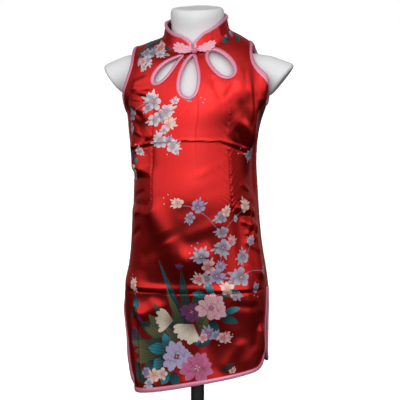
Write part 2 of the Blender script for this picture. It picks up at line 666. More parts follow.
def keyhole_line(across, below, lean, length, width, tip):
    """A drop-shaped hole: round below, narrowing to a small round tip above."""
    turn = full_turn(KEYHOLE_SAMPLES)
    along = (1 - np.cos(turn)) / 2
    reach = width / 2 * np.sin(turn) * (tip + (1 - tip) * along**0.8)
    lean = math.radians(lean)
    x = across + length * along * math.sin(lean) + reach * math.cos(lean)
    y = up_below_neckline(below + length * along * math.cos(lean) - reach * math.sin(lean))
    line = np.stack([x, y], axis=1)
    return spaced(np.concatenate([line, line[:1]]), EDGE_STEP * 0.8)[:-1]


def into_cloth(line, closed, toward):
    """Unit vectors square to an edge, on the cloth's side: 1 is left of the way of travel, -1 right."""
    if closed:
        run = np.roll(line, -1, axis=0) - np.roll(line, 1, axis=0)
    else:
        run = np.gradient(line, axis=0)
    run /= np.linalg.norm(run, axis=1)[:, None]
    return toward * np.stack([-run[:, 1], run[:, 0]], axis=1)


def flat_area(line):
    """The area inside a closed line on the flat cloth."""
    after = np.roll(line, -1, axis=0)
    return abs((line[:, 0] * after[:, 1] - line[:, 1] * after[:, 0]).sum()) / 2


HEMS = {facing: hem_line(facing) for facing in FACINGS}
ARMHOLES = {key: armhole_line(*key) for key in ARMHOLE_CURVES}
HOLES = {row[0]: keyhole_line(*row[1:]) for row in KEYHOLES}


def panel_outline(facing):
    """Round a panel: hem, left side, left armhole, left shoulder, neckline, and down the right."""
    sides = {}
    for side in (-1.0, 1.0):
        seam = side_line(facing, side, SLIT_TOP, UNDERARM)[:-1]
        shoulder = side_line(facing, side, SHOULDER, NECKLINE)[1:]
        sides[side] = np.concatenate([seam, ARMHOLES[facing, side], shoulder])
    neckline = spaced([sides[1.0][-1], sides[-1.0][-1]])[1:-1]
    return np.concatenate([HEMS[facing], sides[1.0], neckline, sides[-1.0][::-1]])


OUTLINES = {facing: panel_outline(facing) for facing in FACINGS}
CUT_AREAS = {facing: flat_area(line) for facing, line in OUTLINES.items()}
CUT_AREAS["front"] -= sum(flat_area(line) for line in HOLES.values())
print("cut areas in square metres:", {facing: round(area, 4) for facing, area in CUT_AREAS.items()})

# %% [markdown]
# ## The print
#
# The cloth is screen printed with sprays of blossom, peonies and leaves, ordinary motifs that many such
# cloths share.  An image texture would blur close up, and a pattern made only from shader nodes can't hold
# a chosen layout.  So the print is drawn as a designer draws it, with outlines on the flat cloth, in
# millimetres.  Each petal, leaf and stem is one closed line, with a frame that says how far along and how
# far across it a place lies.  The panel's triangles are cut along these lines, so an edge is crisp at any
# distance, and the frame lets the material shade each petal from its heart to its tip.

# %% Inks, and the marks that they print
INKS = {  # face of the mark, and its deep shade
    "cream": ("F2D9CC", "DC9A97"),
    "pearl": ("E2DADF", "8F88A4"),
    "slate": ("B6B0C0", "5C5878"),
    "lilac": ("B3A4C6", "655090"),
    "blush": ("EFBDBE", "B65A70"),
    "rose": ("CB6C94", "7A1F4C"),
    "orchid": ("BDB2D2", "4A2A74"),
    "shell": ("ECB8C0", "8E3156"),
    "plum": ("6E3A62", "3A1638"),
    "teal": ("2F8D9C", "093A48"),
    "deep_teal": ("175A60", "081F2A"),
    "pine": ("26463E", "0C1F20"),
    "olive": ("626643", "2A3324"),
    "ivory": ("E8DBC8", "8C7868"),
    "stem": ("C59AB0", "9A6F8E"),
    "pollen": ("F3DFA2", "C99A56"),
}
STEM_THICK = 1.5
BUD_SIZE = 2.2
PLAIN = 1000  # a frame so large that a mark keeps one shade
marks = []


def add_mark(outline, spot, turn, length, width, ink, streaks):
    """Keeps one closed line of the print, with its frame, its ink and how strongly it is streaked."""
    marks.append((np.array(outline) * MM, np.array(spot) * MM, turn, length * MM, width * MM, ink, streaks))


def add_petal(spot, turn, length, width, ink, widest=0.62, blunt=0.62, streaks=0.5, bend=0.0, steps=5):
    """A petal or leaf from its base: where it is widest, how blunt its ends are, and its sideways bend."""
    along = (1 - np.cos(np.linspace(0, math.pi, steps + 2))) / 2
    half = width / 2 * np.sin(math.pi * along ** (math.log(0.5) / math.log(widest))) ** blunt
    half[[0, -1]] = 0
    sway = bend * length * np.sin(math.pi * along * 0.5) ** 2
    along = np.concatenate([along, along[-2:0:-1]]) * length
    off = np.concatenate([sway - half, (sway + half)[-2:0:-1]])
    way = math.radians(turn)
    x = spot[0] + along * math.cos(way) - off * math.sin(way)
    y = spot[1] + along * math.sin(way) + off * math.cos(way)
    add_mark(np.stack([x, y], axis=1), spot, turn, length, width, ink, streaks)


def add_dot(spot, size, ink):
    """A small bud or the head of a stamen."""
    turn = full_turn(6)
    outline = np.stack([spot[0] + size / 2 * np.cos(turn), spot[1] + size / 2 * np.sin(turn)], axis=1)
    add_mark(outline, spot, 0.0, size, size, ink, 0.0)


def add_stem(points):
    """A stem through a few points, thinner at its far end."""
    line = spaced(points, 5)
    for _ in range(2):
        line[1:-1] = (line[:-2] + 2 * line[1:-1] + line[2:]) / 4
    sideways = into_cloth(line, False, STEM_THICK / 2) * np.linspace(1.0, 0.45, len(line))[:, None]
    outline = np.concatenate([line - sideways, (line + sideways)[::-1]])
    add_mark(outline, line[0], 0, PLAIN, PLAIN, "stem", 0)


def around(spot, turn, distance):
    """The place that lies a distance from a spot, in the direction of an angle."""
    way = math.radians(turn)
    return spot[0] + distance * math.cos(way), spot[1] + distance * math.sin(way)


def add_blossom(spot, size, turn, ink):
    """Five petals, a heart and its stamens, none quite like the next."""
    for index in range(5):
        way = turn + 72 * index + 5 * math.sin(index * 2.4 + turn)
        length = size * (0.53 + 0.06 * math.sin(index * 1.9 + turn))
        width = size * (0.43 + 0.05 * math.sin(index * 2.7 + turn))
        add_petal(around(spot, way, size * 0.035), way, length, width, ink, 0.64, 0.58, 0.75)
    add_dot(spot, size * 0.15, "pollen")
    for index in range(5):
        add_dot(around(spot, turn + 36 + 72 * index, size * 0.17), size * 0.055, "pollen")


def add_spray(spot, size, turn, ink, ways):
    """A blossom, with pointed leaves behind it: a long one between two short ones in each of some ways."""
    for way in ways:
        for aside, part in ((-38, 0.36), (34, 0.42), (2, 0.60)):
            base = around(spot, way + aside * 0.5, size * 0.30)
            add_petal(base, way + aside, size * part, size * 0.21, ink, 0.50, 0.85, 0.9, 0.06, 3)
    add_blossom(spot, size, turn, ink)


def add_peony(spot, size, turn, ink, heart):
    """A full flower: four rings of petals, each smaller and turned between the last, and a heart."""
    rings = ((10, 0.13, 0.40, 0.25), (9, 0.08, 0.35, 0.22), (7, 0.04, 0.27, 0.20), (5, 0.01, 0.18, 0.16))
    for ring, (count, start, length, width) in enumerate(rings):
        for index in range(count):
            way = turn + 360 / count * (index + 0.5 * ring) + 7 * math.sin(index * 2.1 + ring + turn)
            grown = 1 + 0.15 * math.sin(index * 1.7 + 2 * ring + turn)
            base = around(spot, way, size * start)
            bend = 0.05 * math.sin(index)
            add_petal(base, way, size * length * grown, size * width, ink, 0.60, 0.66, 0.9, bend)
    for index in range(4):
        add_petal(spot, turn + 90 * index, size * 0.12, size * 0.07, heart, 0.6, 0.6, 0.4, 0.0, 3)
    add_dot(spot, size * 0.06, "pollen")


def add_fan(spot, size, turn, spread, count, ink):
    """Part of a chrysanthemum seen from the side: narrow streaked petals in a fan."""
    for index in range(count):
        way = turn + spread * (index / (count - 1) - 0.5)
        length = size * (0.92 + 0.08 * math.sin(index * 2.3))
        add_petal(spot, way, length, size * 0.26, ink, 0.74, 0.55, 1.0, 0.03 * math.sin(index * 1.3))


def add_leaf(spot, turn, length, width, ink, bend=0.08):
    """A pointed leaf, widest below its middle and strongly veined."""
    add_petal(spot, turn, length, width, ink, 0.46, 0.85, 1.0, bend)


print("inks:", ", ".join(INKS))

# %% [markdown]
# The layout is a plan in millimetres on the flat panel.  Sprays of blossom cross the chest from the
# wearer's right, and more climb the left of the skirt on thin stems.  A bank of peonies and teal leaves
# fills the lower right, with a clump of dark garden foliage and ivory chrysanthemums behind it.  Each row
# of blossoms gives the place, the size, the ink, and the ways in which its leaves point.

# %% Layout of the front
FRONT_BLOSSOMS = (  # across, up, size, turn, ink, ways of the leaves
    (-57, 542, 18, 10, "blush", (150,)),  # shoulder
    (-50, 533, 14, 40, "pearl", (-30, 60)), (-64, 531, 15, 20, "slate", (120, 200)),
    (-76, 527, 13, 50, "slate", (200,)), (-66, 516, 16, 5, "pearl", (200, -60)),
    (-74, 512, 11, 35, "blush", (160,)), (-70, 504, 10, 30, "pearl", (240,)),
    (-92, 428, 17, 20, "slate", (100, 210)),  # chest
    (-95, 408, 13, 0, "pearl", (250,)), (-50, 447, 25, 12, "pearl", (80, 150)),
    (-60, 438, 13, 40, "slate", (230,)), (-30, 431, 22, 40, "pearl", (20,)),
    (-40, 424, 15, 70, "slate", (-60,)), (-47, 419, 19, 5, "pearl", (190,)),
    (-24, 411, 18, 60, "cream", (35, -10, 80)), (-30, 403, 11, 20, "pearl", (200,)),
    (-15, 447, 10, 15, "pearl", (170, 20, 70)), (4, 450, 9, 50, "slate", (20, 160, -50)),
    (-35, 387, 21, 25, "pearl", (185, 110)), (-20, 385, 14, 50, "slate", (70,)),
    (-15, 378, 18, 0, "pearl", (-20, 25)), (-9, 371, 9, 40, "pearl", (-60,)),
    (-75, 371, 12, 10, "pearl", (80, -40)), (-90, 343, 14, 45, "cream", (-100,)),
    (-99, 330, 9, 0, "pearl", (60,)),
    (114, 357, 16, 20, "slate", (170, -50, -110)),  # left side
    (-6, 293, 15, 15, "cream", (150, 200)),  # belly
    (24, 286, 18, 50, "lilac", (70, 20)), (12, 271, 14, 0, "slate", (215, 260)),
    (59, 268, 17, 30, "slate", (190,)), (67, 276, 14, 5, "cream", (60,)),
    (103, 281, 17, 40, "cream", (100, 10)), (84, 263, 8, 0, "pearl", (60, 100)),
    (60, 246, 17, 15, "slate", (170,)), (59, 222, 22, 0, "slate", (-80, 185)),
    (73, 229, 14, 35, "blush", (50, 90, 15)), (27, 211, 20, 20, "slate", (120, 60, 180)),
    (36, 194, 19, 45, "blush", (60,)), (54, 192, 13, 10, "lilac", (60, 100, 15)),
    (48, 179, 21, 0, "lilac", (-20,)), (33, 175, 17, 25, "slate", (250,)),
    (22, 174, 17, 60, "blush", (170, 110)), (94, 203, 19, 10, "slate", (180, 215, 90)),
    (110, 225, 12, 30, "slate", (90, 60, 120)), (85, 173, 27, 5, "slate", (150, 190)),
    (133, 176, 13, 40, "slate", (60,)), (62, 158, 18, 20, "cream", (120,)),
    (109, 151, 13, 0, "lilac", (30, 80)), (74, 146, 14, 40, "slate", (-20, -60)),
    (31, 82, 20, 10, "lilac", (80, 110)), (22, 77, 14, 40, "blush", ()), (42, 79, 14, 0, "slate", (60,)),
    (53, 74, 17, 30, "blush", (40, 0, -45)),
    (-90, 162, 15, 5, "cream", (70, 110, -60)),  # right slit
    (-62, 25, 21, 15, "cream", (160,)),  # beside the hem
    (-76, 30, 15, 40, "lilac", ()), (-47, 26, 17, 0, "cream", ()), (-72, 13, 15, 20, "pearl", (200,)),
    (64, 13, 10, 10, "blush", (60,)),
)
FRONT_BUDS = (
    (24, 450), (30, 447), (27, 442), (93, 368), (90, 360), (-28, 301), (-21, 306), (-27, 292), (13, 228),
    (22, 232), (10, 217), (105, 140), (113, 136), (108, 144), (61, 84), (67, 79), (63, 70), (-62, 508),
    (-74, 498), (-4, 533), (4, 527), (-8, 524), (-80, 382), (-23, 366), (46, 62), (-100, 172), (-96, 178),
)
FRONT_STEMS = (
    ((-92, 428), (-74, 441), (-60, 447), (-50, 446)),
    ((-49, 446), (-42, 432), (-28, 431)),
    ((-22, 410), (-24, 396), (-32, 387)),
    ((2, 289), (14, 288), (27, 279), (39, 270), (49, 255), (58, 247)),
    ((103, 281), (94, 271), (78, 263), (66, 252), (61, 246)),
    ((60, 246), (58, 232), (59, 222), (56, 205), (50, 190), (46, 178)),
    ((94, 203), (91, 190), (86, 174)),
    ((85, 173), (104, 181), (132, 176)),
    ((110, 225), (106, 212), (96, 204)),
    ((-6, 293), (-1, 291), (2, 289)),
    ((-91, 162), (-88, 150), (-84, 138)),
)
FRONT_LEAVES = (  # across, up, turn, length, width, ink
    (-70, 545, 195, 26, 12, "pine"), (-72, 535, 215, 26, 12, "pine"),
    (-62, 537, 200, 24, 11, "deep_teal"), (-60, 523, 250, 18, 9, "deep_teal"),
    (-50, 545, 20, 16, 8, "deep_teal"), (-46, 538, -20, 14, 7, "slate"), (-80, 520, 260, 16, 8, "slate"),
    (-76, 541, 205, 19, 9, "deep_teal"), (-70, 538, 240, 22, 9, "teal"), (-66, 545, 175, 20, 8, "pine"),
    (-82, 533, 280, 17, 8, "deep_teal"), (-61, 529, 230, 17, 8, "teal"),
    (66, 540, 150, 18, 9, "deep_teal"), (72, 541, 60, 16, 8, "slate"), (76, 534, 10, 16, 8, "deep_teal"),
    (62, 545, 100, 12, 6, "slate"), (-86, 356, 100, 19, 8, "deep_teal"), (-84, 350, 60, 12, 6, "teal"),
    (40, 148, 100, 24, 12, "teal"), (34, 146, 160, 26, 12, "teal"), (47, 145, 15, 34, 11, "deep_teal"),
    (55, 119, 5, 26, 12, "teal"), (50, 113, -35, 30, 15, "deep_teal"),
    (36, 108, -75, 26, 14, "deep_teal"), (14, 62, 35, 30, 15, "deep_teal"), (10, 64, 75, 22, 11, "teal"),
    (-36, 64, 170, 32, 19, "teal"), (-34, 68, 95, 22, 14, "teal"), (-42, 44, 185, 26, 17, "teal"),
    (-36, 32, 235, 26, 18, "teal"), (-28, 28, 270, 24, 17, "deep_teal"),
    (-60, 48, 220, 24, 13, "deep_teal"), (46, 16, 20, 24, 10, "pine"),
    (-92, 148, -60, 24, 10, "deep_teal"), (-86, 144, 265, 22, 10, "teal"), (-86, 130, 230, 22, 9, "pine"),
    (-84, 122, 300, 20, 9, "plum"),
)
FRONT_FOLIAGE = (  # dark leaves of the clump, from the back to the front
    (-30, 60, 160, 64, 26, "pine"), (-26, 66, 178, 70, 26, "olive"), (-22, 84, 152, 62, 25, "pine"),
    (-30, 52, 194, 58, 24, "pine"), (-16, 78, 132, 60, 25, "olive"), (-34, 92, 168, 40, 20, "olive"),
    (-56, 34, 204, 40, 20, "pine"), (-66, 20, 168, 30, 16, "pine"), (-84, 66, 100, 34, 14, "deep_teal"),
    (-88, 50, 252, 36, 14, "pine"), (-92, 96, 255, 30, 12, "plum"), (-60, 10, 196, 24, 12, "deep_teal"),
    (4, 88, 122, 44, 22, "pine"), (18, 84, 62, 34, 16, "olive"), (-52, 62, 148, 50, 17, "pine"),
    (-50, 68, 166, 52, 15, "olive"), (-46, 78, 132, 44, 15, "pine"), (-54, 56, 186, 42, 16, "olive"),
    (-44, 84, 108, 40, 14, "olive"), (-50, 48, 206, 38, 14, "pine"), (-30, 80, 150, 46, 18, "olive"),
    (-28, 74, 172, 44, 16, "pine"), (-18, 88, 118, 60, 15, "pine"), (-10, 96, 99, 74, 13, "olive"),
    (-3, 100, 84, 92, 12, "pine"), (6, 102, 70, 62, 14, "pine"), (12, 96, 52, 40, 14, "olive"),
    (-6, 108, 103, 104, 8, "deep_teal"), (-14, 84, 200, 36, 16, "olive"),
)
FRONT_PEONIES = (  # across, up, size, turn, ink, heart
    (6, 121, 31, 20, "plum", "rose"),
    (38, 128, 45, 5, "shell", "rose"),
    (-21, 51, 46, 30, "orchid", "plum"),
    (9, 28, 48, 12, "rose", "shell"),
)
FRONT_FANS = (  # across, up, size, turn, spread, petals, ink
    (-22, 108, 31, 172, 76, 7, "ivory"),
    (8, 101, 34, 232, 92, 9, "ivory"),
    (-6, 190, 13, 92, 60, 4, "plum"),
)


def print_plan(foliage, stems, leaves, fans, peonies, blossoms, buds):
    """Draws a plan from the back to the front, and returns its marks."""
    marks.clear()
    for row in foliage:
        add_leaf(row[:2], *row[2:], 0.10)
    for points in stems:
        add_stem(points)
    for draw, rows in ((add_leaf, leaves), (add_fan, fans), (add_peony, peonies), (add_spray, blossoms)):
        for row in rows:
            draw(row[:2], *row[2:])
    for spot in buds:
        add_dot(spot, BUD_SIZE, "cream")
    return list(marks)


PRINTS = {"collar": []}
PRINTS["front"] = print_plan(
    FRONT_FOLIAGE, FRONT_STEMS, FRONT_LEAVES, FRONT_FANS, FRONT_PEONIES, FRONT_BLOSSOMS, FRONT_BUDS
)
print("marks on the front:", len(PRINTS["front"]))

# %% Layout of the back
BACK_BLOSSOMS = (
    (66, 540, 15, 10, "slate", (30, 150)), (78, 520, 13, 35, "pearl", (60,)),
    (-30, 470, 18, 5, "cream", (170, 60)), (-14, 458, 15, 40, "pearl", (-20,)),
    (-46, 482, 13, 20, "slate", (140,)), (8, 446, 17, 0, "slate", (20, -60)),
    (24, 430, 20, 30, "pearl", (60, 0)), (40, 416, 15, 10, "cream", (40,)),
    (58, 398, 17, 50, "slate", (80, 10)), (-70, 400, 15, 25, "slate", (190, 110)),
    (-80, 382, 12, 0, "cream", (240,)), (70, 372, 14, 15, "blush", (-30,)),
    (-60, 306, 17, 10, "cream", (150, 80)), (-44, 292, 19, 40, "lilac", (30,)),
    (-54, 272, 15, 5, "slate", (200, 250)), (-28, 262, 18, 25, "slate", (60, -30)),
    (-14, 240, 21, 0, "pearl", (20, 70)), (-34, 224, 16, 50, "blush", (180,)),
    (4, 216, 17, 20, "slate", (0, 50)), (-8, 196, 19, 35, "lilac", (210, 250)),
    (20, 190, 15, 0, "cream", (30,)), (70, 246, 17, 15, "slate", (60, 120)),
    (84, 222, 14, 45, "cream", (20, -40)), (60, 214, 15, 5, "slate", (200,)),
    (-84, 178, 15, 10, "pearl", (130, 210)), (-70, 66, 19, 20, "lilac", (170,)),
    (-52, 58, 16, 50, "blush", (240, 200)), (76, 92, 16, 5, "cream", (70, 20)),
    (84, 72, 14, 35, "slate", (-20,)),
)
BACK_BUDS = (
    (-56, 496), (-50, 500), (48, 404), (66, 386), (-72, 318), (-66, 322), (30, 202), (34, 194), (78, 258),
    (-90, 192), (-84, 54), (-64, 44), (92, 104), (88, 56), (-88, 372),
)
BACK_STEMS = (
    ((-46, 482), (-30, 470), (-14, 458), (8, 446), (24, 430), (40, 416), (58, 398)),
    ((-60, 306), (-46, 292), (-40, 276), (-28, 262), (-14, 240), (0, 218), (-4, 198)),
    ((-70, 400), (-76, 390), (-80, 382)),
    ((84, 222), (78, 234), (70, 246)),
    ((60, 214), (66, 230), (70, 246)),
)
BACK_LEAVES = (
    (60, 546, 200, 17, 8, "teal"), (70, 548, 120, 15, 7, "deep_teal"), (-2, 148, 60, 28, 12, "teal"),
    (-12, 144, 130, 28, 12, "deep_teal"), (16, 128, 20, 30, 13, "teal"),
    (18, 110, -20, 28, 14, "deep_teal"), (-34, 110, 190, 30, 13, "teal"),
    (-30, 92, 215, 28, 14, "deep_teal"), (42, 66, 60, 28, 14, "teal"), (58, 52, 20, 26, 13, "deep_teal"),
    (52, 34, -20, 24, 13, "teal"), (-44, 40, 160, 28, 14, "teal"), (-48, 26, 200, 26, 12, "deep_teal"),
    (-14, 18, 250, 16, 10, "teal"),
)
BACK_FOLIAGE = (
    (22, 84, 72, 66, 13, "pine"), (26, 80, 54, 58, 14, "olive"), (30, 76, 36, 50, 14, "pine"),
    (18, 86, 88, 56, 11, "deep_teal"),
)
BACK_FANS = (
    (40, 104, 26, 60, 84, 8, "ivory"),
    (-46, 84, 24, 140, 80, 7, "ivory"),
)
BACK_PEONIES = (
    (-8, 122, 44, 10, "shell", "rose"),
    (26, 52, 46, 25, "orchid", "plum"),
    (-20, 46, 48, 5, "rose", "shell"),
)
PRINTS["back"] = print_plan(
    BACK_FOLIAGE, BACK_STEMS, BACK_LEAVES, BACK_FANS, BACK_PEONIES, BACK_BLOSSOMS, BACK_BUDS
)
print("marks on the back:", len(PRINTS["back"]))

# %% [markdown]
# ## A mesh of cloth
#
# The flat cut is filled with triangles by a constrained Delaunay triangulation.  It takes any points and
# lines and joins them into well-shaped triangles that never cross a line, which is what a panel with holes,
# curved edges and a print needs.  The triangles are then put on the wearer twice, for the right and the
# wrong side of the cloth, and closed at the border.  The panel gets its true normals, so that a highlight
# runs smoothly over triangles of any shape, and three attributes that carry the print to the material.

# %% Fill, wear and thicken a panel
WALL = 0.0012  # thickness of the cloth
GRID_STEP = 0.0026  # between the points that fill a panel


def inside(polygon, points):
    """Whether each point lies inside a closed line."""
    low, high = polygon.min(axis=0), polygon.max(axis=0)
    found = ((points > low) & (points < high)).all(axis=1)
    x, y = points[found, 0][:, None], points[found, 1][:, None]
    x0, y0 = polygon[:, 0][None, :], polygon[:, 1][None, :]
    x1, y1 = np.roll(polygon[:, 0], -1)[None, :], np.roll(polygon[:, 1], -1)[None, :]
    rise = np.where(y1 == y0, 1e-12, y1 - y0)
    crosses = ((y0 > y) != (y1 > y)) & (x < (x1 - x0) * (y - y0) / rise + x0)
    found[found] = crosses.sum(axis=1) % 2 == 1
    return found


def in_cloth(outline, holes, points):
    """Whether each point lies inside an outline and outside its holes."""
    return inside(outline, points) & ~np.any([inside(hole, points) for hole in holes], axis=0)


def fill_pattern(outline, holes, drawn):
    """Points and triangles that fill an outline, with the lines of the print kept as edges."""
    low, high = outline.min(axis=0), outline.max(axis=0)
    columns = np.arange(low[0], high[0], GRID_STEP)
    rows = np.arange(low[1], high[1], GRID_STEP * 0.87)  # rows of nearly equal-sided triangles
    x, y = np.meshgrid(columns, rows)
    x = x + GRID_STEP / 2 * (np.arange(len(rows)) % 2)[:, None]
    grid = np.stack([x.ravel(), y.ravel()], axis=1)
    border = np.concatenate([outline, *holes])
    grid = grid[in_cloth(outline, holes, grid)]
    near = np.concatenate([
        np.linalg.norm(part[:, None, :] - border[None, :, :], axis=2).min(axis=1)
        for part in np.array_split(grid, 40)
    ])
    loops = [outline, *holes, *drawn]
    flat = np.concatenate([*loops, grid[near > GRID_STEP * 0.6]])
    edges, start = [], 0
    for loop in loops:
        count = len(loop)
        edges += [(start + index, start + (index + 1) % count) for index in range(count)]
        start += count
    filled = delaunay_2d_cdt([Vector(point) for point in flat], edges, [], 0, 1e-7)
    flat = np.array([tuple(point) for point in filled[0]])
    triangles = np.array([tuple(face) for face in filled[2]])
    keep = in_cloth(outline, holes, flat[triangles].mean(axis=1))
    used, triangles = np.unique(triangles[keep], return_inverse=True)
    return flat[used], triangles.reshape(-1, 3)


def print_values(flat, triangles, drawn):
    """The inks and the place in its mark of each triangle's corners; bare cloth has zeros."""
    corners = flat[triangles]
    middle = corners.mean(axis=1)
    face, deep, spot = (np.zeros((len(triangles), 3, size)) for size in (4, 4, 3))
    for outline, base, turn, length, width, ink, streaks in drawn:
        found = inside(outline, middle)
        way = math.radians(turn)
        from_base = corners[found] - np.array(base)
        along = from_base @ np.array([math.cos(way), math.sin(way)]) / length
        across = from_base @ np.array([-math.sin(way), math.cos(way)]) / (width / 2)
        face[found], deep[found] = map(colour, INKS[ink])
        spot[found] = np.stack([along, across, np.full_like(along, 0.2 + 0.8 * streaks)], axis=-1)
    return face, deep, spot


def mesh_object(name, points, faces, finishes):
    """An object of smooth faces that rides with the dress."""
    mesh = bpy.data.meshes.new(name)
    mesh.from_pydata([tuple(point) for point in points], [], [tuple(face) for face in faces])
    mesh.shade_smooth()
    for finish in finishes:
        mesh.materials.append(finish)
    made = into_scene(name, mesh)
    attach(made, "root")
    return made


def add_cut_uv(made, values):
    """The flat coordinates that a cloth material follows, from those of each vertex."""
    mesh = made.data
    corner = np.empty(len(mesh.loops), np.int64)
    mesh.loops.foreach_get("vertex_index", corner)
    mesh.uv_layers.new(name="cut").data.foreach_set("uv", np.asarray(values)[corner].ravel())


def on_right_side(mesh, values):
    """Values of the right side's corners, which come first, and zeros for the mesh's other corners."""
    held = np.zeros((len(mesh.loops), values.shape[-1]))
    held[:values.shape[0] * 3] = values.reshape(-1, values.shape[-1])
    return held.ravel()


def make_cloth(name, facing, outline, holes, finishes):
    """A piece of cloth on the wearer: right side, wrong side and border."""
    drawn = PRINTS[facing]
    flat, triangles = fill_pattern(outline, holes, [mark[0] for mark in drawn])
    middle, normals = cloth_and_normals(facing, flat[:, 0], flat[:, 1])
    face, deep, spot = print_values(flat, triangles, drawn)
    if facing == "back":
        triangles = triangles[:, ::-1]
        face, deep, spot = face[:, ::-1], deep[:, ::-1], spot[:, ::-1]
    count = len(flat)
    ends = np.concatenate([triangles[:, [0, 1]], triangles[:, [1, 2]], triangles[:, [2, 0]]])
    there = set(map(tuple, ends.tolist()))
    border = [end for end in ends.tolist() if (end[1], end[0]) not in there]
    faces = triangles.tolist() + (triangles[:, ::-1] + count).tolist()
    faces += [(end[1], end[0], count + end[0], count + end[1]) for end in border]
    points = np.concatenate([middle + normals * WALL / 2, middle - normals * WALL / 2])
    made = mesh_object(name, points, faces, finishes)
    mesh = made.data
    slots = (np.arange(len(faces)) >= len(triangles)).astype(np.int32)
    mesh.polygons.foreach_set("material_index", slots)
    for attribute, values in zip(("print_face", "print_deep"), (face, deep)):
        inks = mesh.color_attributes.new(attribute, "FLOAT_COLOR", "CORNER")
        inks.data.foreach_set("color", on_right_side(mesh, values))
    places = mesh.attributes.new("print_place", "FLOAT_VECTOR", "CORNER")
    places.data.foreach_set("vector", on_right_side(mesh, spot))
    add_cut_uv(made, np.concatenate([flat, flat]))
    mesh.normals_split_custom_set_from_vertices(np.concatenate([normals, -normals]))
    print(name, "has", len(mesh.polygons), "faces")
    return made

# %% [markdown]
# ## Printed satin
#
# The cloth is polyester satin.  Its warp threads float over several picks at a time, so light meets long
# parallel fibres: the gloss is strong, it takes the colour of the dye, and it spreads sideways, square to
# the threads.  In Blender that is a part metallic colour with anisotropy, whose tangent runs across the
# panel.  The threads are 0.1 mm apart, too fine to show, so they are drawn about four times as coarse.
# Screen ink lies between the threads and dulls the gloss where it covers them.

# %% The satin and its wrong side
THREAD = 0.45 * MM  # drawn four times as coarse as the real spacing
THREAD_RUN = 9 * MM  # over which a thread's thickness wanders
SLUB = 1.7 * MM
SLUB_RUN = 45 * MM


def thread_noise(tree, across_size, along_size, detail=2.0):
    """Noise drawn out along the cloth's length, over the flat cut."""
    cut = add_node(tree, "ShaderNodeUVMap", uv_map="cut")
    scale = (1 / across_size, 1 / along_size, 1.0)
    stretched = add_node(tree, "ShaderNodeMapping", {"Vector": cut.outputs["UV"], "Scale": scale})
    noise = {"Vector": stretched.outputs["Vector"], "Scale": 1.0, "Detail": detail, "Roughness": 0.55}
    return add_node(tree, "ShaderNodeTexNoise", noise).outputs["Fac"]


def satin_finish(name, ground, shade, glint, gloss, roughness, spread):
    """Satin with an optional print: its dye, the dye's deeper shade, and how it shines."""
    made, tree, shader = start_material(name)
    threads = thread_noise(tree, THREAD, THREAD_RUN)
    slubs = thread_noise(tree, SLUB, SLUB_RUN)
    dyed = {"Factor": slubs, "A": colour(ground), "B": colour(shade)}
    dyed = add_node(tree, "ShaderNodeMix", dyed, data_type="RGBA").outputs["Result"]
    face = add_node(tree, "ShaderNodeAttribute", attribute_name="print_face").outputs["Color"]
    deep = add_node(tree, "ShaderNodeAttribute", attribute_name="print_deep").outputs["Color"]
    spot = add_node(tree, "ShaderNodeAttribute", attribute_name="print_place").outputs["Vector"]
    along, across, strength = add_node(tree, "ShaderNodeSeparateXYZ", {"Vector": spot}).outputs
    cover = add_node(tree, "ShaderNodeMath", {0: strength, 1: 0.1}, operation="GREATER_THAN").outputs[0]
    heart = {"Value": along, "From Min": 0.02, "From Max": 0.78, "To Min": 0.85, "To Max": 0.0}
    heart = add_node(tree, "ShaderNodeMapRange", heart, interpolation_type="SMOOTHSTEP").outputs["Result"]
    veins = add_node(tree, "ShaderNodeMath", {0: across, 1: 12.5}, operation="MULTIPLY").outputs[0]
    veins = add_node(tree, "ShaderNodeMath", {0: veins}, operation="COSINE").outputs[0]
    vein_size = {"Value": veins, "From Min": 0.45, "From Max": 1.0, "To Min": 0.0, "To Max": 0.5}
    veins = add_node(tree, "ShaderNodeMapRange", vein_size).outputs["Result"]
    veins = add_node(tree, "ShaderNodeMath", {0: veins, 1: strength}, operation="MULTIPLY").outputs[0]
    tone = {0: heart, 1: veins}
    tone = add_node(tree, "ShaderNodeMath", tone, operation="ADD", use_clamp=True).outputs[0]
    inked = {"Factor": tone, "A": face, "B": deep}
    inked = add_node(tree, "ShaderNodeMix", inked, data_type="RGBA").outputs["Result"]
    printed = {"Factor": cover, "A": dyed, "B": inked}
    printed = add_node(tree, "ShaderNodeMix", printed, data_type="RGBA").outputs["Result"]
    metal = add_node(tree, "ShaderNodeMapRange", {"Value": cover, "To Min": gloss, "To Max": gloss * 0.25})
    dulled = {"Value": cover, "To Min": roughness, "To Max": roughness + 0.10}
    dulled = add_node(tree, "ShaderNodeMapRange", dulled).outputs["Result"]
    wander = {"Value": slubs, "To Min": -0.05, "To Max": 0.05}
    wander = add_node(tree, "ShaderNodeMapRange", wander).outputs["Result"]
    rough = add_node(tree, "ShaderNodeMath", {0: dulled, 1: wander}, operation="ADD").outputs[0]
    bump = {"Height": threads, "Strength": 0.16, "Distance": 0.05 * MM}
    tangent = add_node(tree, "ShaderNodeTangent", direction_type="UV_MAP", uv_map="cut").outputs["Tangent"]
    set_sockets(tree, shader, {
        "Base Color": printed,
        "Metallic": metal.outputs["Result"],
        "Roughness": rough,
        "Normal": add_node(tree, "ShaderNodeBump", bump).outputs["Normal"],
        "Tangent": tangent,
        "Anisotropic": spread,
        "Specular Tint": colour(glint),
        "IOR": 1.55,
        "Coat Weight": 0.5,
        "Coat Roughness": 0.34,
    })
    return made


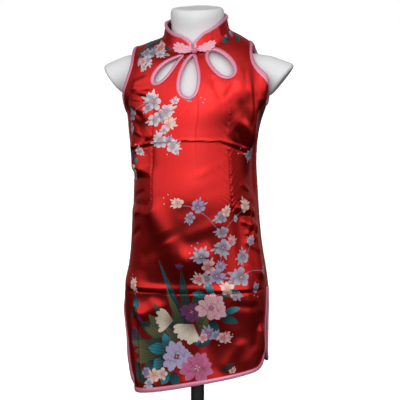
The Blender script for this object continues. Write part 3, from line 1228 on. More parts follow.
def wrong_side_finish(name, ground, shade):
    """The wrong side of satin: the weft shows there, so it is matt, and the dye looks darker."""
    made, tree, shader = start_material(name)
    threads = thread_noise(tree, THREAD_RUN / 4, THREAD)
    tone = {"Factor": threads, "A": colour(ground), "B": colour(shade)}
    tone = add_node(tree, "ShaderNodeMix", tone, data_type="RGBA").outputs["Result"]
    bump = {"Height": threads, "Strength": 0.5, "Distance": 0.08 * MM}
    set_sockets(tree, shader, {
        "Base Color": tone,
        "Roughness": 0.72,
        "IOR": 1.55,
        "Sheen Weight": 0.2,
        "Normal": add_node(tree, "ShaderNodeBump", bump).outputs["Normal"],
    })
    return made


RED_SATIN = satin_finish("red_printed_satin", "DE1612", "C60C0B", "FFA8A4", 0.90, 0.33, 0.60)
SATIN_WRONG_SIDE = wrong_side_finish("red_satin_wrong_side", "7C1420", "5E0E1A")
SATIN_SIDES = [RED_SATIN, SATIN_WRONG_SIDE]
print("materials so far:", [finish.name for finish in SATIN_SIDES])

# %% [markdown]
# ## The two panels
#
# On the real dress the panels meet at the side and shoulder seams, and the edge of each rolls down into the
# seam.  Both are made by the same function, which cuts the front's keyholes out as well.

# %% Make the panels
panels = {}
for panel_facing in FACINGS:
    holes = list(HOLES.values()) if panel_facing == "front" else []
    panel_name = panel_facing + "_of_dress"
    panel = make_cloth(panel_name, panel_facing, OUTLINES[panel_facing], holes, SATIN_SIDES)
    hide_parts(panel_facing + "_panel")
    panels[panel_facing] = panel

# %% [markdown]
# ## Bindings
#
# A bias binding is a strip of satin cut at 45 degrees, so that it stretches round a curve.  It is folded
# over the raw edge and stitched down close to its inner fold.  A curve with a bevel would be quick, but it
# would be a round pipe.  Here a section is swept along the edge: a flat, slightly padded face with a groove
# at the stitches, a tight roll over the edge, and the same face behind.  The sweep is worked out on the
# flat cloth, so it stays on the panel through every fold.

# %% Pink satin and the section of a binding
PINK_SATIN = satin_finish("pink_satin_binding", "F8A0B8", "D47898", "FFE4EC", 0.30, 0.38, 0.45)
HEM_BINDING_WIDTH = 0.0066
BINDING_THICK = 0.0008
INNER_OUT = WALL / 2 + GAP + 0.0003  # from the middle of the cloth to the binding
ROLL = GAP + BINDING_THICK  # how far the binding stands out past the cloth's edge
FACE_SECTION = (  # how far in from the edge, in parts of the width, and how high, in thicknesses
    (1.000, 0.00),
    (1.000, 0.50),
    (0.960, 0.88),
    (0.890, 0.58),  # groove at the stitches
    (0.820, 1.00),
    (0.640, 1.26),
    (0.400, 1.32),
    (0.160, 1.14),
)


def binding_section():
    """The closed section, as parts of the width, distances beyond the edge and heights."""
    face = [(part, 0.0, INNER_OUT + high * BINDING_THICK) for part, high in FACE_SECTION]
    rolled = [
        (0.0, ROLL * math.cos(turn), (INNER_OUT + 0.9 * BINDING_THICK) * math.sin(turn))
        for turn in np.radians((60, 30, 0, -30, -60))
    ]
    behind = [(part, beyond, -out) for part, beyond, out in face[::-1]]
    return [*face, *rolled, *behind, (0.0, GAP, -INNER_OUT * 0.8), (0.0, GAP, INNER_OUT * 0.8)]


def swept_faces(count, size, closed, first=0):
    """Quads between rings of points, and from the last ring to the first if the row is closed."""
    faces = []
    for ring in range(count if closed else count - 1):
        after = (ring + 1) % count
        for spot in range(size):
            beside = (spot + 1) % size
            row, next_row = first + ring * size, first + after * size
            faces.append((row + spot, row + beside, next_row + beside, next_row + spot))
    return faces


def tube_faces(count, size, first=0):
    """Quads between rings of points, and a face over each end."""
    last = first + (count - 1) * size
    ends = [tuple(range(first, first + size))[::-1], tuple(range(last, last + size))]
    return swept_faces(count, size, False, first) + ends


def section_cap(first):
    """Triangles over the end of a binding: a fan for each of its two faces, and one between them."""
    size = 2 * len(FACE_SECTION) + 7
    front, behind, edge = size - 1, size - 2, len(FACE_SECTION) + 2
    fans = [(front, spot, spot + 1) for spot in range(edge)]
    fans += [(behind, spot, spot + 1) for spot in range(edge, size - 3)]
    return [tuple(first + spot for spot in fan) for fan in [*fans, (front, edge, behind)]]


def face_outward(made):
    """Turns the faces of a closed mesh outward."""
    mesh = made.data
    mesh.calc_loop_triangles()
    corners = np.array([tuple(vertex.co) for vertex in mesh.vertices])
    faces = np.array([tuple(part.vertices) for part in mesh.loop_triangles])
    if np.linalg.det(corners[faces]).sum() < 0:
        mesh.flip_normals()
    return made


def edge_piece(node, kind):
    """The name of a piece on an edge, from the name of the edge's solid binding."""
    return node.replace("_binding", "") + "_" + kind


def make_binding(node, stretches, closed, width):
    """A binding folded over an edge.  A stretch is (facing, line on the flat cloth, way into the cloth)."""
    name = edge_piece(node, "bias_binding")
    section = binding_section()
    rings = []
    for facing, line, inward in stretches:
        corners = []
        for part, beyond, out in section:
            spot = line + inward * (part * width - beyond)
            corners.append(cloth(facing, spot[:, 0], spot[:, 1], out))
        rings.append(np.stack(corners, axis=1))
    rings = np.concatenate(rings)
    count, size = rings.shape[:2]
    faces = swept_faces(count, size, closed)
    if not closed:
        faces += [face[::-1] for face in section_cap(0)] + section_cap((count - 1) * size)
    made = face_outward(mesh_object(name, rings.reshape(-1, 3), faces, [PINK_SATIN]))
    run = run_of(rings[:, 6])
    across = run_of(rings[0])
    uv = np.stack(np.broadcast_arrays(across[None, :], run[:, None]), axis=-1).reshape(-1, 2)
    add_cut_uv(made, uv)
    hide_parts(node)
    print(name, "is %.0f mm long" % (run[-1] / MM))
    return made


# %% Bind the hems, armholes and keyholes
TURN_STEPS = 4  # in which an armhole's binding turns to meet the one on the other panel
bound_edges = {}
for panel_facing, hem in HEMS.items():
    line = hem[1:-1]
    stretch = (panel_facing, line, into_cloth(line, False, 1.0))
    bound_edges[panel_facing + "_hem_binding"] = ([stretch], False, HEM_BINDING_WIDTH)
for side_name, panel_side in SIDES:
    stretches = []
    for panel_facing in FACINGS:
        line = ARMHOLES[panel_facing, panel_side]
        inward = into_cloth(line, False, panel_side)
        for end, seam_up in ((0, UNDERARM - BINDING_WIDTH), (-1, SHOULDER + BINDING_WIDTH)):
            seam_across = panel_side * half_width(panel_facing, panel_side, seam_up)[0]
            inward[end] = (np.array([seam_across, seam_up]) - line[end]) / BINDING_WIDTH
        for step in range(1, TURN_STEPS):
            for end, spot in ((0, step), (-1, -1 - step)):
                inward[spot] += (inward[end] - inward[spot]) * (1 - step / TURN_STEPS)
        stretches.append((panel_facing, line, inward))
    stretches[1] = ("back", line[-2:0:-1], inward[-2:0:-1])  # down again behind, to close the loop
    bound_edges["armhole_binding_" + side_name] = (stretches, True, BINDING_WIDTH)
for node, line in HOLES.items():
    stretch = ("front", line, into_cloth(line, True, 1.0))
    bound_edges[node] = ([stretch], True, KEYHOLE_BINDING_WIDTH)

bindings = {node: make_binding(node, *edge) for node, edge in bound_edges.items()}

# %% [markdown]
# ## The stand collar
#
# The collar is one stiffened strip, 26 mm high, that rises from a short end at the throat to its full
# height.  It is cut flat and put on the neck rings by the same functions as the panels.

# %% Make the collar
COLLAR_HEIGHT = 0.0255
COLLAR_END_HEIGHT = 0.0150
COLLAR_END_RUN = 0.020
COLLAR_END_INSET = 0.0022  # half the opening at the throat
COLLAR_SAMPLES = 800
END_SAMPLES = 19

run_along = np.linspace(COLLAR_END_INSET, COLLAR_LENGTH - COLLAR_END_INSET, COLLAR_SAMPLES)
from_end = np.minimum(run_along, COLLAR_LENGTH - run_along) - COLLAR_END_INSET
rise = np.sin(np.clip(from_end / COLLAR_END_RUN, 0, 1) * math.pi / 2)
collar_top = NECKLINE + COLLAR_END_HEIGHT + (COLLAR_HEIGHT - COLLAR_END_HEIGHT) * rise
end_up = np.linspace(NECKLINE, NECKLINE + COLLAR_END_HEIGHT, END_SAMPLES + 1)[:-1]
collar_edge = spaced(np.concatenate([
    np.stack([np.full(END_SAMPLES, COLLAR_END_INSET), end_up], axis=1),
    np.stack([run_along, collar_top], axis=1),
    np.stack([np.full(END_SAMPLES, COLLAR_LENGTH - COLLAR_END_INSET), end_up[::-1]], axis=1),
]))
collar_foot = spaced([collar_edge[-1], collar_edge[0]])[1:-1]
collar_outline = np.concatenate([collar_edge, collar_foot])[::-1]
collar = make_cloth("stand_collar", "collar", collar_outline, [], SATIN_SIDES)
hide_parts("collar")
COLLAR_BINDING_WIDTH = BINDING_WIDTH * 0.8
collar_inward = into_cloth(collar_edge, False, -1.0)
bound_edges["collar_binding"] = ([("collar", collar_edge, collar_inward)], False, COLLAR_BINDING_WIDTH)
bindings["collar_binding"] = make_binding("collar_binding", *bound_edges["collar_binding"])

# %% [markdown]
# ## Stitching
#
# A machine stitch lies in the groove of each binding, a couple of millimetres long with a short gap, and
# its two ends dip into the cloth.  A dashed texture could stand for it, but it would stay flat where the
# light grazes it, so each stitch is a short tapered tube.  All the stitches of an edge are one mesh.

# %% Thread and stitches
STITCH_LENGTH = 0.0023
STITCH_GAP = 0.0008
THREAD_RADIUS = 0.00023
THREAD_SIDES = 6
STITCH_RINGS = ((0.0, 0.35, -0.9), (0.12, 0.9, 0.1), (0.5, 1.0, 0.45), (0.88, 0.9, 0.1), (1.0, 0.35, -0.9))


def mottled(tree, where, grain, detail, ground, shade):
    """A noise whose grain has a given size, and two colours mixed by it."""
    noise = {"Vector": where, "Scale": 1 / grain, "Detail": detail}
    noise = add_node(tree, "ShaderNodeTexNoise", noise).outputs["Fac"]
    tone = {"Factor": noise, "A": colour(ground), "B": colour(shade)}
    return noise, add_node(tree, "ShaderNodeMix", tone, data_type="RGBA").outputs["Result"]


def thread_finish(name, ground, shade):
    """Twisted polyester sewing thread: a fine spiral of light and shade."""
    made, tree, shader = start_material(name)
    where = add_node(tree, "ShaderNodeTexCoord").outputs["Object"]
    tone = mottled(tree, where, 0.4 * MM, 1.0, ground, shade)[1]
    set_sockets(tree, shader, {"Base Color": tone, "Roughness": 0.5, "IOR": 1.55, "Sheen Weight": 0.2})
    return made


def make_stitches(name, paths, finish):
    """Stitches along each path, which is (points on the surface, ways out of it)."""
    points = []
    faces = []
    turn = full_turn(THREAD_SIDES)
    for path, outward in paths:
        lengths = run_of(path)
        for start in np.arange(0.001, lengths[-1] - STITCH_LENGTH, STITCH_LENGTH + STITCH_GAP):
            at = start + STITCH_LENGTH * np.array([ring[0] for ring in STITCH_RINGS])
            centre = np.stack([np.interp(at, lengths, path[:, axis]) for axis in range(3)], axis=1)
            out = np.stack([np.interp(at, lengths, outward[:, axis]) for axis in range(3)], axis=1)
            run = centre[-1] - centre[0]
            aside = np.cross(run / np.linalg.norm(run), out)
            first = len(points)
            for ring, (_, thick, high) in enumerate(STITCH_RINGS):
                middle = centre[ring] + out[ring] * THREAD_RADIUS * high
                for angle in turn:
                    way = math.cos(angle) * aside[ring] + math.sin(angle) * out[ring]
                    points.append(middle + THREAD_RADIUS * thick * way)
            faces += tube_faces(len(STITCH_RINGS), THREAD_SIDES, first)
    made = face_outward(mesh_object(name, points, faces, [finish]))
    print(name, "has", len(faces) // (THREAD_SIDES * 4 + 2), "stitches")
    return made


PINK_THREAD = thread_finish("pink_sewing_thread", "B04474", "8E3058")
stitch_lines = {}
groove = INNER_OUT + 0.62 * BINDING_THICK
for node, (stretches, closed, width) in bound_edges.items():
    paths = []
    for facing, line, inward in stretches:
        spot = line + inward * 0.89 * width
        surface = cloth(facing, spot[:, 0], spot[:, 1], groove)
        outward = cloth(facing, spot[:, 0], spot[:, 1], groove + MM) - surface
        paths.append((surface, outward / MM))
    stitch_lines[node] = make_stitches(edge_piece(node, "stitches"), paths, PINK_THREAD)

# %% [markdown]
# ## Seams on the inside
#
# Where two panels meet, their allowances are pressed and overlocked together behind the seam.  They close
# the seam against light, and they show where the slit opens.  Each is a narrow strip behind the cloth.

# %% Seam allowances
ALLOWANCE = 0.006
ALLOWANCE_STEP = 0.004
ALLOWANCE_FACES = (-WALL / 2 - 0.0012, -WALL / 2 - 0.0019)  # out from the cloth, the near one and the other


def make_strip(name, rows):
    """A thin strip from rows of points that cross it, given as points near the cloth and points behind."""
    near, behind = rows
    count, size = near.shape[:2]
    loop = np.concatenate([near, behind[:, ::-1]], axis=1).reshape(-1, 3)
    made = face_outward(mesh_object(name, loop, tube_faces(count, 2 * size), [SATIN_WRONG_SIDE]))
    run = np.linspace(0, 1, count)[:, None] * count * EDGE_STEP
    across = np.concatenate([np.linspace(0, 1, size), np.linspace(1, 0, size)])[None, :] * 2 * ALLOWANCE
    add_cut_uv(made, np.stack(np.broadcast_arrays(across, run), axis=-1).reshape(-1, 2))
    return made


def seam_strip(name, side, low, high):
    """A strip behind the seam between the front and the back, from one height to another."""
    ups = np.arange(low, high, ALLOWANCE_STEP)
    insets = (ALLOWANCE, ALLOWANCE / 2, 0.0008)
    spots = [("front", inset) for inset in insets] + [("back", inset) for inset in insets[::-1]]
    layers = []
    for out in ALLOWANCE_FACES:
        columns = []
        for facing, inset in spots:
            across = side * (half_width(facing, side, ups) - inset)
            columns.append(cloth(facing, across, ups, out))
        layers.append(np.stack(columns, axis=1))
    return make_strip(name, layers)


allowances = []
for side_name, panel_side in SIDES:
    allowances += [
        seam_strip("side_seam_" + side_name, panel_side, SLIT_TOP + 0.001, UNDERARM - 0.008),
        seam_strip("shoulder_seam_" + side_name, panel_side, SHOULDER + 0.008, NECKLINE - 0.001),
    ]
neck_start = COLLAR_END_INSET + 0.002
neck_run = np.linspace(neck_start, COLLAR_LENGTH - neck_start, 120)
neck_ups = [np.full(len(neck_run), NECKLINE + high * MM) for high in (-4, -1, 1, 4)]
neck_layers = [
    np.stack([cloth("collar", neck_run, ups, out) for ups in neck_ups], axis=1) for out in ALLOWANCE_FACES
]
allowances.append(make_strip("neck_seam", neck_layers))
print("seam allowances:", [piece.name for piece in allowances])

# %% [markdown]
# ## The frog
#
# A frog is a fastening of two ornaments and a button knot.  Here the ornaments are embroidered leaves with
# scalloped edges, worked in satin stitch over padding, so each lobe swells and the threads run out from the
# middle.  A leaf is a disc of rings whose outline carries the lobes.  The button is a cord worked into a
# ball, so it is swept along a line that weaves round an ellipsoid.

# %% Embroidered leaves
LEAF_LENGTH = 0.0280
LEAF_WIDTH = 0.0180
LEAF_SCALLOP = 0.22  # how far a lobe stands out, in parts of the leaf
LEAF_LOBES = 11
LEAF_OUT = 0.0182  # from the knot to a leaf's middle
FROG_ASIDE = 0.0036  # of the knot from the centre front
LEAF_UP = {1.0: -0.0014, -1.0: 0.0028}  # of its middle from the neckline
LEAF_RISE = {1.0: -16.0, -1.0: 12.0}  # tilt of its outer end, in degrees
LEAF_THICK = 0.0010
LEAF_MIDDLE = 0.0032  # out from the cloth
LEAF_PADDING = 0.0010
LEAF_GROOVE = 0.0005
LEAF_UNDERSIDE = LEAF_MIDDLE - LEAF_THICK / 2
LEAF_RINGS = 16
LEAF_TURNS = 220


def embroidery_finish(name, ground, shade):
    """Rayon satin stitch: glossy threads 0.35 mm apart that run out from the leaf's middle."""
    made, tree, shader = start_material(name)
    cut = add_node(tree, "ShaderNodeUVMap", uv_map="cut")
    stretched = {"Vector": cut.outputs["UV"], "Scale": (1 / (6 * MM), 1 / (0.35 * MM), 1.0)}
    stretched = add_node(tree, "ShaderNodeMapping", stretched).outputs["Vector"]
    threads, tone = mottled(tree, stretched, 1.0, 1.0, ground, shade)
    bump = {"Height": threads, "Strength": 0.9, "Distance": 0.15 * MM}
    set_sockets(tree, shader, {
        "Base Color": tone,
        "Roughness": 0.42,
        "IOR": 1.53,
        "Sheen Weight": 0.3,
        "Normal": add_node(tree, "ShaderNodeBump", bump).outputs["Normal"],
    })
    return made


PINK_EMBROIDERY = embroidery_finish("pink_rayon_embroidery", "FFC4D2", "EE93AE")


def make_leaf(name, node, side):
    """One leaf of the frog: a padded top with lobes, and a flat underside."""
    turn = full_turn(LEAF_TURNS)
    lobes = np.abs(np.sin(LEAF_LOBES / 2 * turn))
    scallop = 1 + LEAF_SCALLOP * lobes
    lean = math.radians(LEAF_RISE[side])
    part = np.linspace(0, 1, LEAF_RINGS + 1)[1:]
    along = LEAF_LENGTH / 2 * np.cos(turn) * scallop
    wide = LEAF_WIDTH / 2 * np.sin(turn) * scallop * (1 + 0.25 * np.cos(turn))
    top = LEAF_MIDDLE + LEAF_THICK / 2
    swell = LEAF_PADDING * (1 - part**4)[:, None] * (0.45 + 0.55 * part)[:, None]
    groove = np.exp(-((lobes / 0.22) ** 2))[None, :] * smooth_step((part - 0.25) / 0.4)[:, None]
    high = top + swell - LEAF_GROOVE * groove
    flat_x = part[:, None] * along[None, :]
    flat_y = part[:, None] * wide[None, :]
    across = side * (LEAF_OUT + flat_x * math.cos(lean) - flat_y * math.sin(lean)) + FROG_ASIDE
    up = NECKLINE + LEAF_UP[side] + flat_x * math.sin(lean) + flat_y * math.cos(lean)
    points = [
        cloth("front", across.ravel(), up.ravel(), out.ravel())
        for out in (high, np.full_like(high, LEAF_UNDERSIDE))
    ]
    spots = [side * LEAF_OUT + FROG_ASIDE] * 2
    middle = cloth("front", spots, [NECKLINE + LEAF_UP[side]] * 2, np.array([top, LEAF_UNDERSIDE]))
    size = LEAF_RINGS * LEAF_TURNS
    rim = size - LEAF_TURNS
    beside = [*range(1, LEAF_TURNS), 0]
    faces = []
    for layer in (0, 1):
        first, centre = layer * size, 2 * size + layer
        layer_faces = swept_faces(LEAF_RINGS, LEAF_TURNS, False, first)
        layer_faces += [(centre, first + after, first + spot) for spot, after in enumerate(beside)]
        faces += layer_faces if layer == 0 else [face[::-1] for face in layer_faces]
    for spot, after in enumerate(beside):
        faces.append((rim + after, rim + spot, size + rim + spot, size + rim + after))
    made = face_outward(mesh_object(name, np.concatenate([*points, middle]), faces, [PINK_EMBROIDERY]))
    out_from_middle = np.repeat(part * LEAF_LENGTH / 2, LEAF_TURNS)
    uv = np.stack([out_from_middle, np.tile(turn * LEAF_LENGTH / 2, LEAF_RINGS)], axis=1)
    add_cut_uv(made, np.concatenate([uv, uv, np.zeros((2, 2))]))
    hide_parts(node)
    return made


leaves = [make_leaf("embroidered_leaf_" + name, "frog_leaf_" + name, side) for name, side in SIDES]
print("leaves:", [leaf.name for leaf in leaves])

# %% The button knot
KNOT_UP = NECKLINE - 0.0010
KNOT_SIZE = (0.0040, 0.0046, 0.0036)
CORD_RADIUS = 0.00085
KNOT_LEADS = 3  # times that the cord goes round
KNOT_BIGHTS = 4  # times that it goes from pole to pole and back
KNOT_POLE = 1.15  # how near the poles it turns, in radians
KNOT_WEAVE = 0.13  # how far it rises and dips where it crosses itself
CORD_SIDES = 10
CORD_STEPS = 260
CORE_RINGS = 12  # of the ball that the cord is worked round
CORE_SIDES = 24
CORE_PART = 0.9


def make_knot():
    """A ball knot: a cord that weaves round a core."""
    spots = FROG_ASIDE + np.array([0.0, 0.002, 0.0])
    seat, beside, above = cloth("front", spots, KNOT_UP + np.array([0.0, 0.0, 0.002]), LEAF_UNDERSIDE)
    side_way = (beside - seat) / np.linalg.norm(beside - seat)
    out_way = np.cross(side_way, above - seat)
    out_way /= np.linalg.norm(out_way)
    up_way = np.cross(out_way, side_way)
    centre = seat + out_way * KNOT_SIZE[2]
    ball = np.array([size - CORD_RADIUS * 0.8 for size in KNOT_SIZE])
    turn = full_turn(CORD_STEPS)
    pitch = KNOT_POLE * np.sin(KNOT_BIGHTS * turn)
    weave = 1 + KNOT_WEAVE * np.cos(2 * KNOT_BIGHTS * turn + 0.6)
    spot = np.stack([
        ball[0] * np.cos(pitch) * np.cos(KNOT_LEADS * turn) * weave,
        ball[1] * np.sin(pitch) * weave,
        ball[2] * np.cos(pitch) * np.sin(KNOT_LEADS * turn) * weave,
    ], axis=1)
    ways = np.stack([side_way, up_way, out_way])
    path = centre + spot @ ways
    run = np.roll(path, -1, axis=0) - np.roll(path, 1, axis=0)
    run /= np.linalg.norm(run, axis=1)[:, None]
    outward = path - centre
    aside = np.cross(run, outward)
    aside /= np.linalg.norm(aside, axis=1)[:, None]
    square = np.cross(aside, run)
    around_cord = full_turn(CORD_SIDES)
    rings = np.cos(around_cord)[None, :, None] * aside[:, None, :]
    rings += np.sin(around_cord)[None, :, None] * square[:, None, :]
    rings = path[:, None, :] + CORD_RADIUS * rings
    faces = swept_faces(CORD_STEPS, CORD_SIDES, True)
    core_turn = full_turn(CORE_SIDES)
    core_pitch = np.radians(np.linspace(-80, 80, CORE_RINGS))
    core = np.stack([
        np.cos(core_pitch)[:, None] * np.cos(core_turn)[None, :],
        np.sin(core_pitch)[:, None] * np.ones(CORE_SIDES)[None, :],
        np.cos(core_pitch)[:, None] * np.sin(core_turn)[None, :],
    ], axis=-1) * ball * CORE_PART
    faces += tube_faces(CORE_RINGS, CORE_SIDES, CORD_STEPS * CORD_SIDES)
    points = np.concatenate([rings.reshape(-1, 3), centre + core.reshape(-1, 3) @ ways])
    made = face_outward(mesh_object("button_knot", points, faces, [PINK_SATIN]))
    steps = np.repeat(np.arange(CORD_STEPS) * 0.0004, CORD_SIDES)
    cord_uv = np.stack([np.tile(around_cord * CORD_RADIUS, CORD_STEPS), steps], axis=1)
    core_uv = np.stack([np.tile(core_turn, CORE_RINGS), np.repeat(core_pitch, CORE_SIDES)], axis=1)
    add_cut_uv(made, np.concatenate([cord_uv, core_uv * KNOT_SIZE[0]]))
    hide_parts("frog_knot")
    return made


knot = make_knot()
print("knot has", len(knot.data.polygons), "faces")

# %% [markdown]
# ## Sheets of cloth
#
# The library needs to know which pieces are cloth, and how large each was before it was worn.  The flat
# sizes come from the cut, with the area of what was cut away left out.

# %% Say what is cloth
trims = {"front": [*leaves, knot], "back": list(allowances), "collar": []}
for node in bound_edges:
    sheet_name = {"back_hem_binding": "back", "collar_binding": "collar"}.get(node, "front")
    trims[sheet_name] += [bindings[node], stitch_lines[node]]
outlines = {**OUTLINES, "collar": collar_outline}
for sheet_name, sheet in {**panels, "collar": collar}.items():
    line = outlines[sheet_name]

# %% [markdown]
# ## The dress form
#
# The form is a hollow plastic shell, moulded white, with a short neck and two arm stubs cut off square.
# Its shape is the same stack of rings as the solid model, with finer steps.  Joining the arms with a
# Boolean leaves a hard line at each shoulder, and a moulding has none.  So the joined body is remeshed into
# small even squares and smoothed, which rounds the shoulder and the rims as a mould does.

# %% Moulded plastic
def plastic_finish(name, ground, shade):
    """Satin white moulded plastic: an even, slightly dusty face with the faint ripple of the mould."""
    made, tree, shader = start_material(name)
    where = add_node(tree, "ShaderNodeTexCoord").outputs["Object"]
    dust, tone = mottled(tree, where, 70 * MM, 4.0, ground, shade)
    ripple = {"Vector": where, "Scale": 1 / (9 * MM), "Detail": 2.0}
    ripple = add_node(tree, "ShaderNodeTexNoise", ripple).outputs["Fac"]
    rough = add_node(tree, "ShaderNodeMapRange", {"Value": dust, "To Min": 0.30, "To Max": 0.46})
    bump = {"Height": ripple, "Strength": 0.10, "Distance": 0.4 * MM}
    set_sockets(tree, shader, {
        "Base Color": tone,
        "Roughness": rough.outputs["Result"],
        "IOR": 1.49,
        "Normal": add_node(tree, "ShaderNodeBump", bump).outputs["Normal"],
    })
    return made


FORM_PLASTIC = plastic_finish("white_moulded_plastic", "F3F3F4", "EAEAEC")

# %% Loft, join and smooth the form
FORM_SIDES = 96
FORM_STEP = 0.006  # between two rings
ARM_SECTIONS = (  # out from the middle, up, tilt in degrees, half height, half depth
    (0.0450, 0.5900, 0.0, 0.0290, 0.0240),  # inside the shoulder
    (0.0800, 0.6030, 6.0, 0.0300, 0.0250),  # at the shoulder
    (0.1040, 0.5985, 20.0, 0.0300, 0.0252),  # in the armhole
    (0.1295, 0.5905, 36.0, 0.0282, 0.0255),  # rim
    (0.1318, 0.5885, 38.0, 0.0260, 0.0234),  # cut face
)
ARM_SHOULDER = 0.080
ARM_FULLER = {1.0: 0.0022, -1.0: 0.0}  # the left stub is a little larger at its rim
ARM_SIDES = 64
VOXEL = 0.0022  # size of the even squares


def loft(name, rings):
    """A closed body through rings of points."""
    rings = np.asarray(rings)
    mesh = bpy.data.meshes.new(name)
    mesh.from_pydata([tuple(point) for point in rings.reshape(-1, 3)], [], tube_faces(*rings.shape[:2]))
    return face_outward(into_scene(name, mesh))


def arm_sections(side):
    """The rings of one arm stub."""
    rings = []
    angles = full_turn(ARM_SIDES)
    for out, high, tilt, tall, deep in ARM_SECTIONS:
        fuller = ARM_FULLER[side] * smooth_step((out - ARM_SHOULDER) / (ARM_SECTIONS[-1][0] - ARM_SHOULDER))
        lean = math.radians(tilt)
        reach = (tall + fuller) * np.sin(angles)
        x = side * (out + reach * math.sin(lean))
        z = high + fuller + reach * math.cos(lean)
        rings.append(np.stack([x, deep * np.cos(angles), z], axis=1))
    return rings


form_turn = full_turn(FORM_SIDES)
form_ups = np.linspace(0, FORM["up"][-1], round(FORM["up"][-1] / FORM_STEP))
form_rings = [ring_point(FORM, form_turn, np.full(FORM_SIDES, up)) for up in form_ups]
form = loft("form_shell", form_rings)
stubs = [loft("form_arm", arm_sections(side)) for side in (1.0, -1.0)]
for stub in stubs:
    join = form.modifiers.new("join_arm", "BOOLEAN")
    join.operation = "UNION"
    join.solver = "EXACT"
    join.object = stub
remesh = form.modifiers.new("even_squares", "REMESH")
remesh.mode = "VOXEL"
remesh.voxel_size = VOXEL
remesh.use_smooth_shade = True
smooth = form.modifiers.new("smooth_moulding", "SMOOTH")
smooth.factor = 0.5
smooth.iterations = 10
joined = bpy.data.meshes.new_from_object(form.evaluated_get(bpy.context.evaluated_depsgraph_get()))
form.modifiers.clear()
form.data = joined
form.data.shade_smooth()
form.data.materials.clear()
form.data.materials.append(FORM_PLASTIC)
for stub in stubs:
    bpy.data.objects.remove(stub, do_unlink=True)
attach(form, "root")
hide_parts("dress_form")
print("form has", len(form.data.polygons), "faces")

# %% [markdown]
# ## The stand
#
# The form sits on a painted steel pole in a round steel base.  Turned parts are profiles spun round an
# axis.  Real turned edges are never sharp, so each corner of the profile is rounded a little.

# %% Painted steel, pole and base
FORM_UNDERSIDE = 0.236
POLE_RADIUS = 0.0105
FLANGE_RADIUS = 0.026
FLANGE_THICK = 0.004
BASE_RADIUS = 0.118
BASE_THICK = 0.010
HUB_RADIUS = 0.020
HUB_HEIGHT = 0.028
SOCKET_FLOOR = 0.006
TURNED_SIDES = 128


def paint_finish(name, ground, dust_colour):
    """Black stove enamel on steel: a fine orange peel, and dust on what faces up."""
    made, tree, shader = start_material(name)
    where = add_node(tree, "ShaderNodeTexCoord").outputs["Object"]
    peel = {"Vector": where, "Scale": 1 / (1.5 * MM), "Detail": 2.0}
    peel = add_node(tree, "ShaderNodeTexNoise", peel).outputs["Fac"]
    dust = {"Vector": where, "Scale": 1 / (30 * MM), "Detail": 5.0}
    dust = add_node(tree, "ShaderNodeTexNoise", dust).outputs["Fac"]
    dust = {"Value": dust, "From Min": 0.45, "From Max": 0.9, "To Max": 0.25}
    dust = add_node(tree, "ShaderNodeMapRange", dust)
    tone = {"Factor": dust.outputs["Result"], "A": colour(ground), "B": colour(dust_colour)}
    tone = add_node(tree, "ShaderNodeMix", tone, data_type="RGBA").outputs["Result"]
    rough = add_node(tree, "ShaderNodeMapRange", {"Value": peel, "To Min": 0.32, "To Max": 0.48})
    bump = {"Height": peel, "Strength": 0.3, "Distance": 0.05 * MM}
    set_sockets(tree, shader, {
        "Base Color": tone,
        "Roughness": rough.outputs["Result"],
        "IOR": 1.5,
        "Normal": add_node(tree, "ShaderNodeBump", bump).outputs["Normal"],
    })
    return made


BLACK_ENAMEL = paint_finish("black_stove_enamel", "17171A", "4A4846")


def rounded(profile, radius=0.0006):
    """The profile with each inner corner cut back twice, which reads as a small round."""
    line = [np.array(profile[0])]
    for before, corner, after in zip(profile, profile[1:], profile[2:]):
        corner = np.array(corner)
        for other, part in ((before, 1.0), (before, 0.3), (after, 0.3), (after, 1.0)):
            way = np.array(other) - corner
            size = np.linalg.norm(way)
            line.append(corner + way / size * min(radius * part, size * 0.45))
    line.append(np.array(profile[-1]))
    return line


def make_turned(name, node, profile):
    """A body spun about the Z axis, from (radius, height) on the axis to the axis again."""
    line = rounded(profile)
    turn = full_turn(TURNED_SIDES)
    ways = np.stack([np.cos(turn), np.sin(turn), np.zeros(TURNED_SIDES)], axis=1)
    rings = [ways * max(radius, 1e-5) + (0, 0, height) for radius, height in line]
    faces = tube_faces(len(rings), TURNED_SIDES)
    made = face_outward(mesh_object(name, np.concatenate(rings), faces, [BLACK_ENAMEL]))
    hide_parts(node)
    return made


pole_top = FORM_UNDERSIDE - GAP
pole = make_turned("enamelled_pole", "stand_pole", (
    (0, SOCKET_FLOOR + GAP),
    (POLE_RADIUS, SOCKET_FLOOR + GAP),
    (POLE_RADIUS, pole_top - FLANGE_THICK - 0.012),
    (POLE_RADIUS * 1.45, pole_top - FLANGE_THICK),
    (FLANGE_RADIUS, pole_top - FLANGE_THICK),
    (FLANGE_RADIUS, pole_top),
    (0, pole_top),
))
base = make_turned("enamelled_base", "stand_base", (
    (0, 0),
    (BASE_RADIUS - 0.0015, 0),
    (BASE_RADIUS, 0.0015),
    (BASE_RADIUS, BASE_THICK * 0.45),
    (BASE_RADIUS - 0.004, BASE_THICK * 0.8),
    (BASE_RADIUS - 0.010, BASE_THICK),
    (HUB_RADIUS + 0.006, BASE_THICK + 0.0015),
    (HUB_RADIUS + 0.0015, BASE_THICK + 0.006),
    (HUB_RADIUS, HUB_HEIGHT - 0.002),
    (HUB_RADIUS - 0.002, HUB_HEIGHT),
    (POLE_RADIUS + GAP, HUB_HEIGHT),
    (POLE_RADIUS + GAP, SOCKET_FLOOR),
    (0, SOCKET_FLOOR),
))
print("pole", round(pole.dimensions.z, 3), "m tall, base", round(base.dimensions.x, 3), "m across")

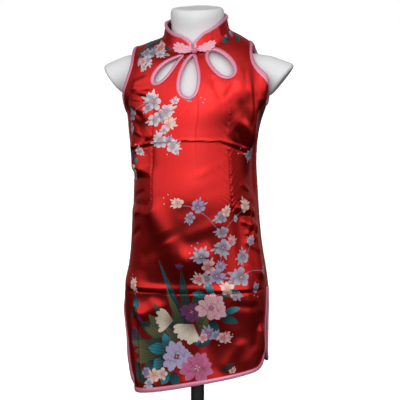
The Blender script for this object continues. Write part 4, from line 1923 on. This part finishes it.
# %% [markdown]
# ## Floor and light
#
# Satin looks like what it reflects.  The room is a world shader: a lit wall in front that reaches up from
# the height of the belly, dim sides and a faint wall behind.  So the chest and the belly, whose cloth faces
# up, shine, and the skirt below them turns down to the dark and goes deep red.  A softbox in front gives
# the folds their soft shadows.  The floor is pale and has a light of its own, and the world beyond it is
# white to the camera.

# %% Floor, world and softboxes
def floor_finish():
    """Matt off-white paper, very slightly uneven."""
    made, tree, shader = start_material("pale_floor")
    where = add_node(tree, "ShaderNodeTexCoord").outputs["Object"]
    tone = mottled(tree, where, 0.5, 2.0, "FBFBFB", "F6F6F7")[1]
    set_sockets(tree, shader, {"Base Color": tone, "Roughness": 0.9})
    return made


FLOOR_HALF = 40.0
WALL_LIGHT = 1.15
SIDE_LIGHT = 0.13
BACK_LIGHT = 0.17
FRONT_WALL = (0.12, -0.993, 0.0)  # the way to the middle of the lit wall
FLOOR_LIGHT = 2.6
DRESS_MIDDLE = Vector((0, 0, 0.45))
floor_mesh = bpy.data.meshes.new("floor")
corners = [(x * FLOOR_HALF, y * FLOOR_HALF, -0.0002) for x, y in ((-1, -1), (1, -1), (1, 1), (-1, 1))]
floor_mesh.from_pydata(corners, [], [(0, 1, 2, 3)])
floor_mesh.materials.append(floor_finish())
floor = into_scene("floor", floor_mesh)
floor.visible_glossy = False
floor.visible_diffuse = False

world = bpy.data.worlds.new("studio")
bpy.context.scene.world = world
world.use_nodes = True
tree = world.node_tree
tree.nodes.clear()
ray = add_node(tree, "ShaderNodeLightPath")
sky = add_node(tree, "ShaderNodeTexCoord").outputs["Generated"]
height = add_node(tree, "ShaderNodeSeparateXYZ", {"Vector": sky}).outputs["Z"]
wall_low = {"Value": height, "From Min": -0.26, "From Max": -0.06, "To Min": 0.02, "To Max": WALL_LIGHT}
wall_low = add_node(tree, "ShaderNodeMapRange", wall_low, interpolation_type="SMOOTHSTEP").outputs["Result"]
toward = {0: sky, 1: FRONT_WALL}
toward = add_node(tree, "ShaderNodeVectorMath", toward, operation="DOT_PRODUCT").outputs["Value"]
front = {"Value": toward, "From Min": 0.05, "From Max": 0.36, "To Min": SIDE_LIGHT, "To Max": 1.0}
front = add_node(tree, "ShaderNodeMapRange", front, interpolation_type="SMOOTHSTEP").outputs["Result"]
behind = {"Value": toward, "From Min": -0.95, "From Max": -0.45, "To Min": BACK_LIGHT, "To Max": 0.0}
behind = add_node(tree, "ShaderNodeMapRange", behind, interpolation_type="SMOOTHSTEP").outputs["Result"]
around_room = add_node(tree, "ShaderNodeMath", {0: front, 1: behind}, operation="ADD").outputs[0]
level = add_node(tree, "ShaderNodeMath", {0: wall_low, 1: around_room}, operation="MULTIPLY").outputs[0]
room = add_node(tree, "ShaderNodeBackground", {"Color": colour("FFFFFF"), "Strength": level})
beyond = add_node(tree, "ShaderNodeBackground", {"Color": colour("FFFFFF"), "Strength": 1.0})
seen = {0: ray.outputs["Is Camera Ray"], 1: room.outputs[0], 2: beyond.outputs[0]}
seen = add_node(tree, "ShaderNodeMixShader", seen)
add_node(tree, "ShaderNodeOutputWorld", {"Surface": seen.outputs[0]})


def add_softbox(name, turn, high, away, size, watts):
    """A soft rectangular light that looks at the middle of the dress, and isn't seen itself."""
    turn, high = math.radians(turn), math.radians(high)
    way = Vector((math.sin(turn) * math.cos(high), -math.cos(turn) * math.cos(high), math.sin(high)))
    data = bpy.data.lights.new(name, "AREA")
    data.shape = "RECTANGLE"
    data.size, data.size_y = size
    data.energy = watts
    lamp = into_scene(name, data)
    lamp.location = DRESS_MIDDLE + way * away
    lamp.rotation_euler = way.to_track_quat("Z", "Y").to_euler()
    lamp.visible_camera = False
    return lamp


add_softbox("front_softbox", 4, 20, 2.2, (1.1, 1.1), 7)
skylight = bpy.data.lights.new("floor_light", "SUN")
skylight.energy = FLOOR_LIGHT
skylight.angle = math.radians(60)
overhead = into_scene("floor_light", skylight)
lit_floor = bpy.data.collections.new("lit_floor")
lit_floor.objects.link(floor)
overhead.light_linking.receiver_collection = lit_floor
bpy.context.scene.view_settings.view_transform = "Standard"
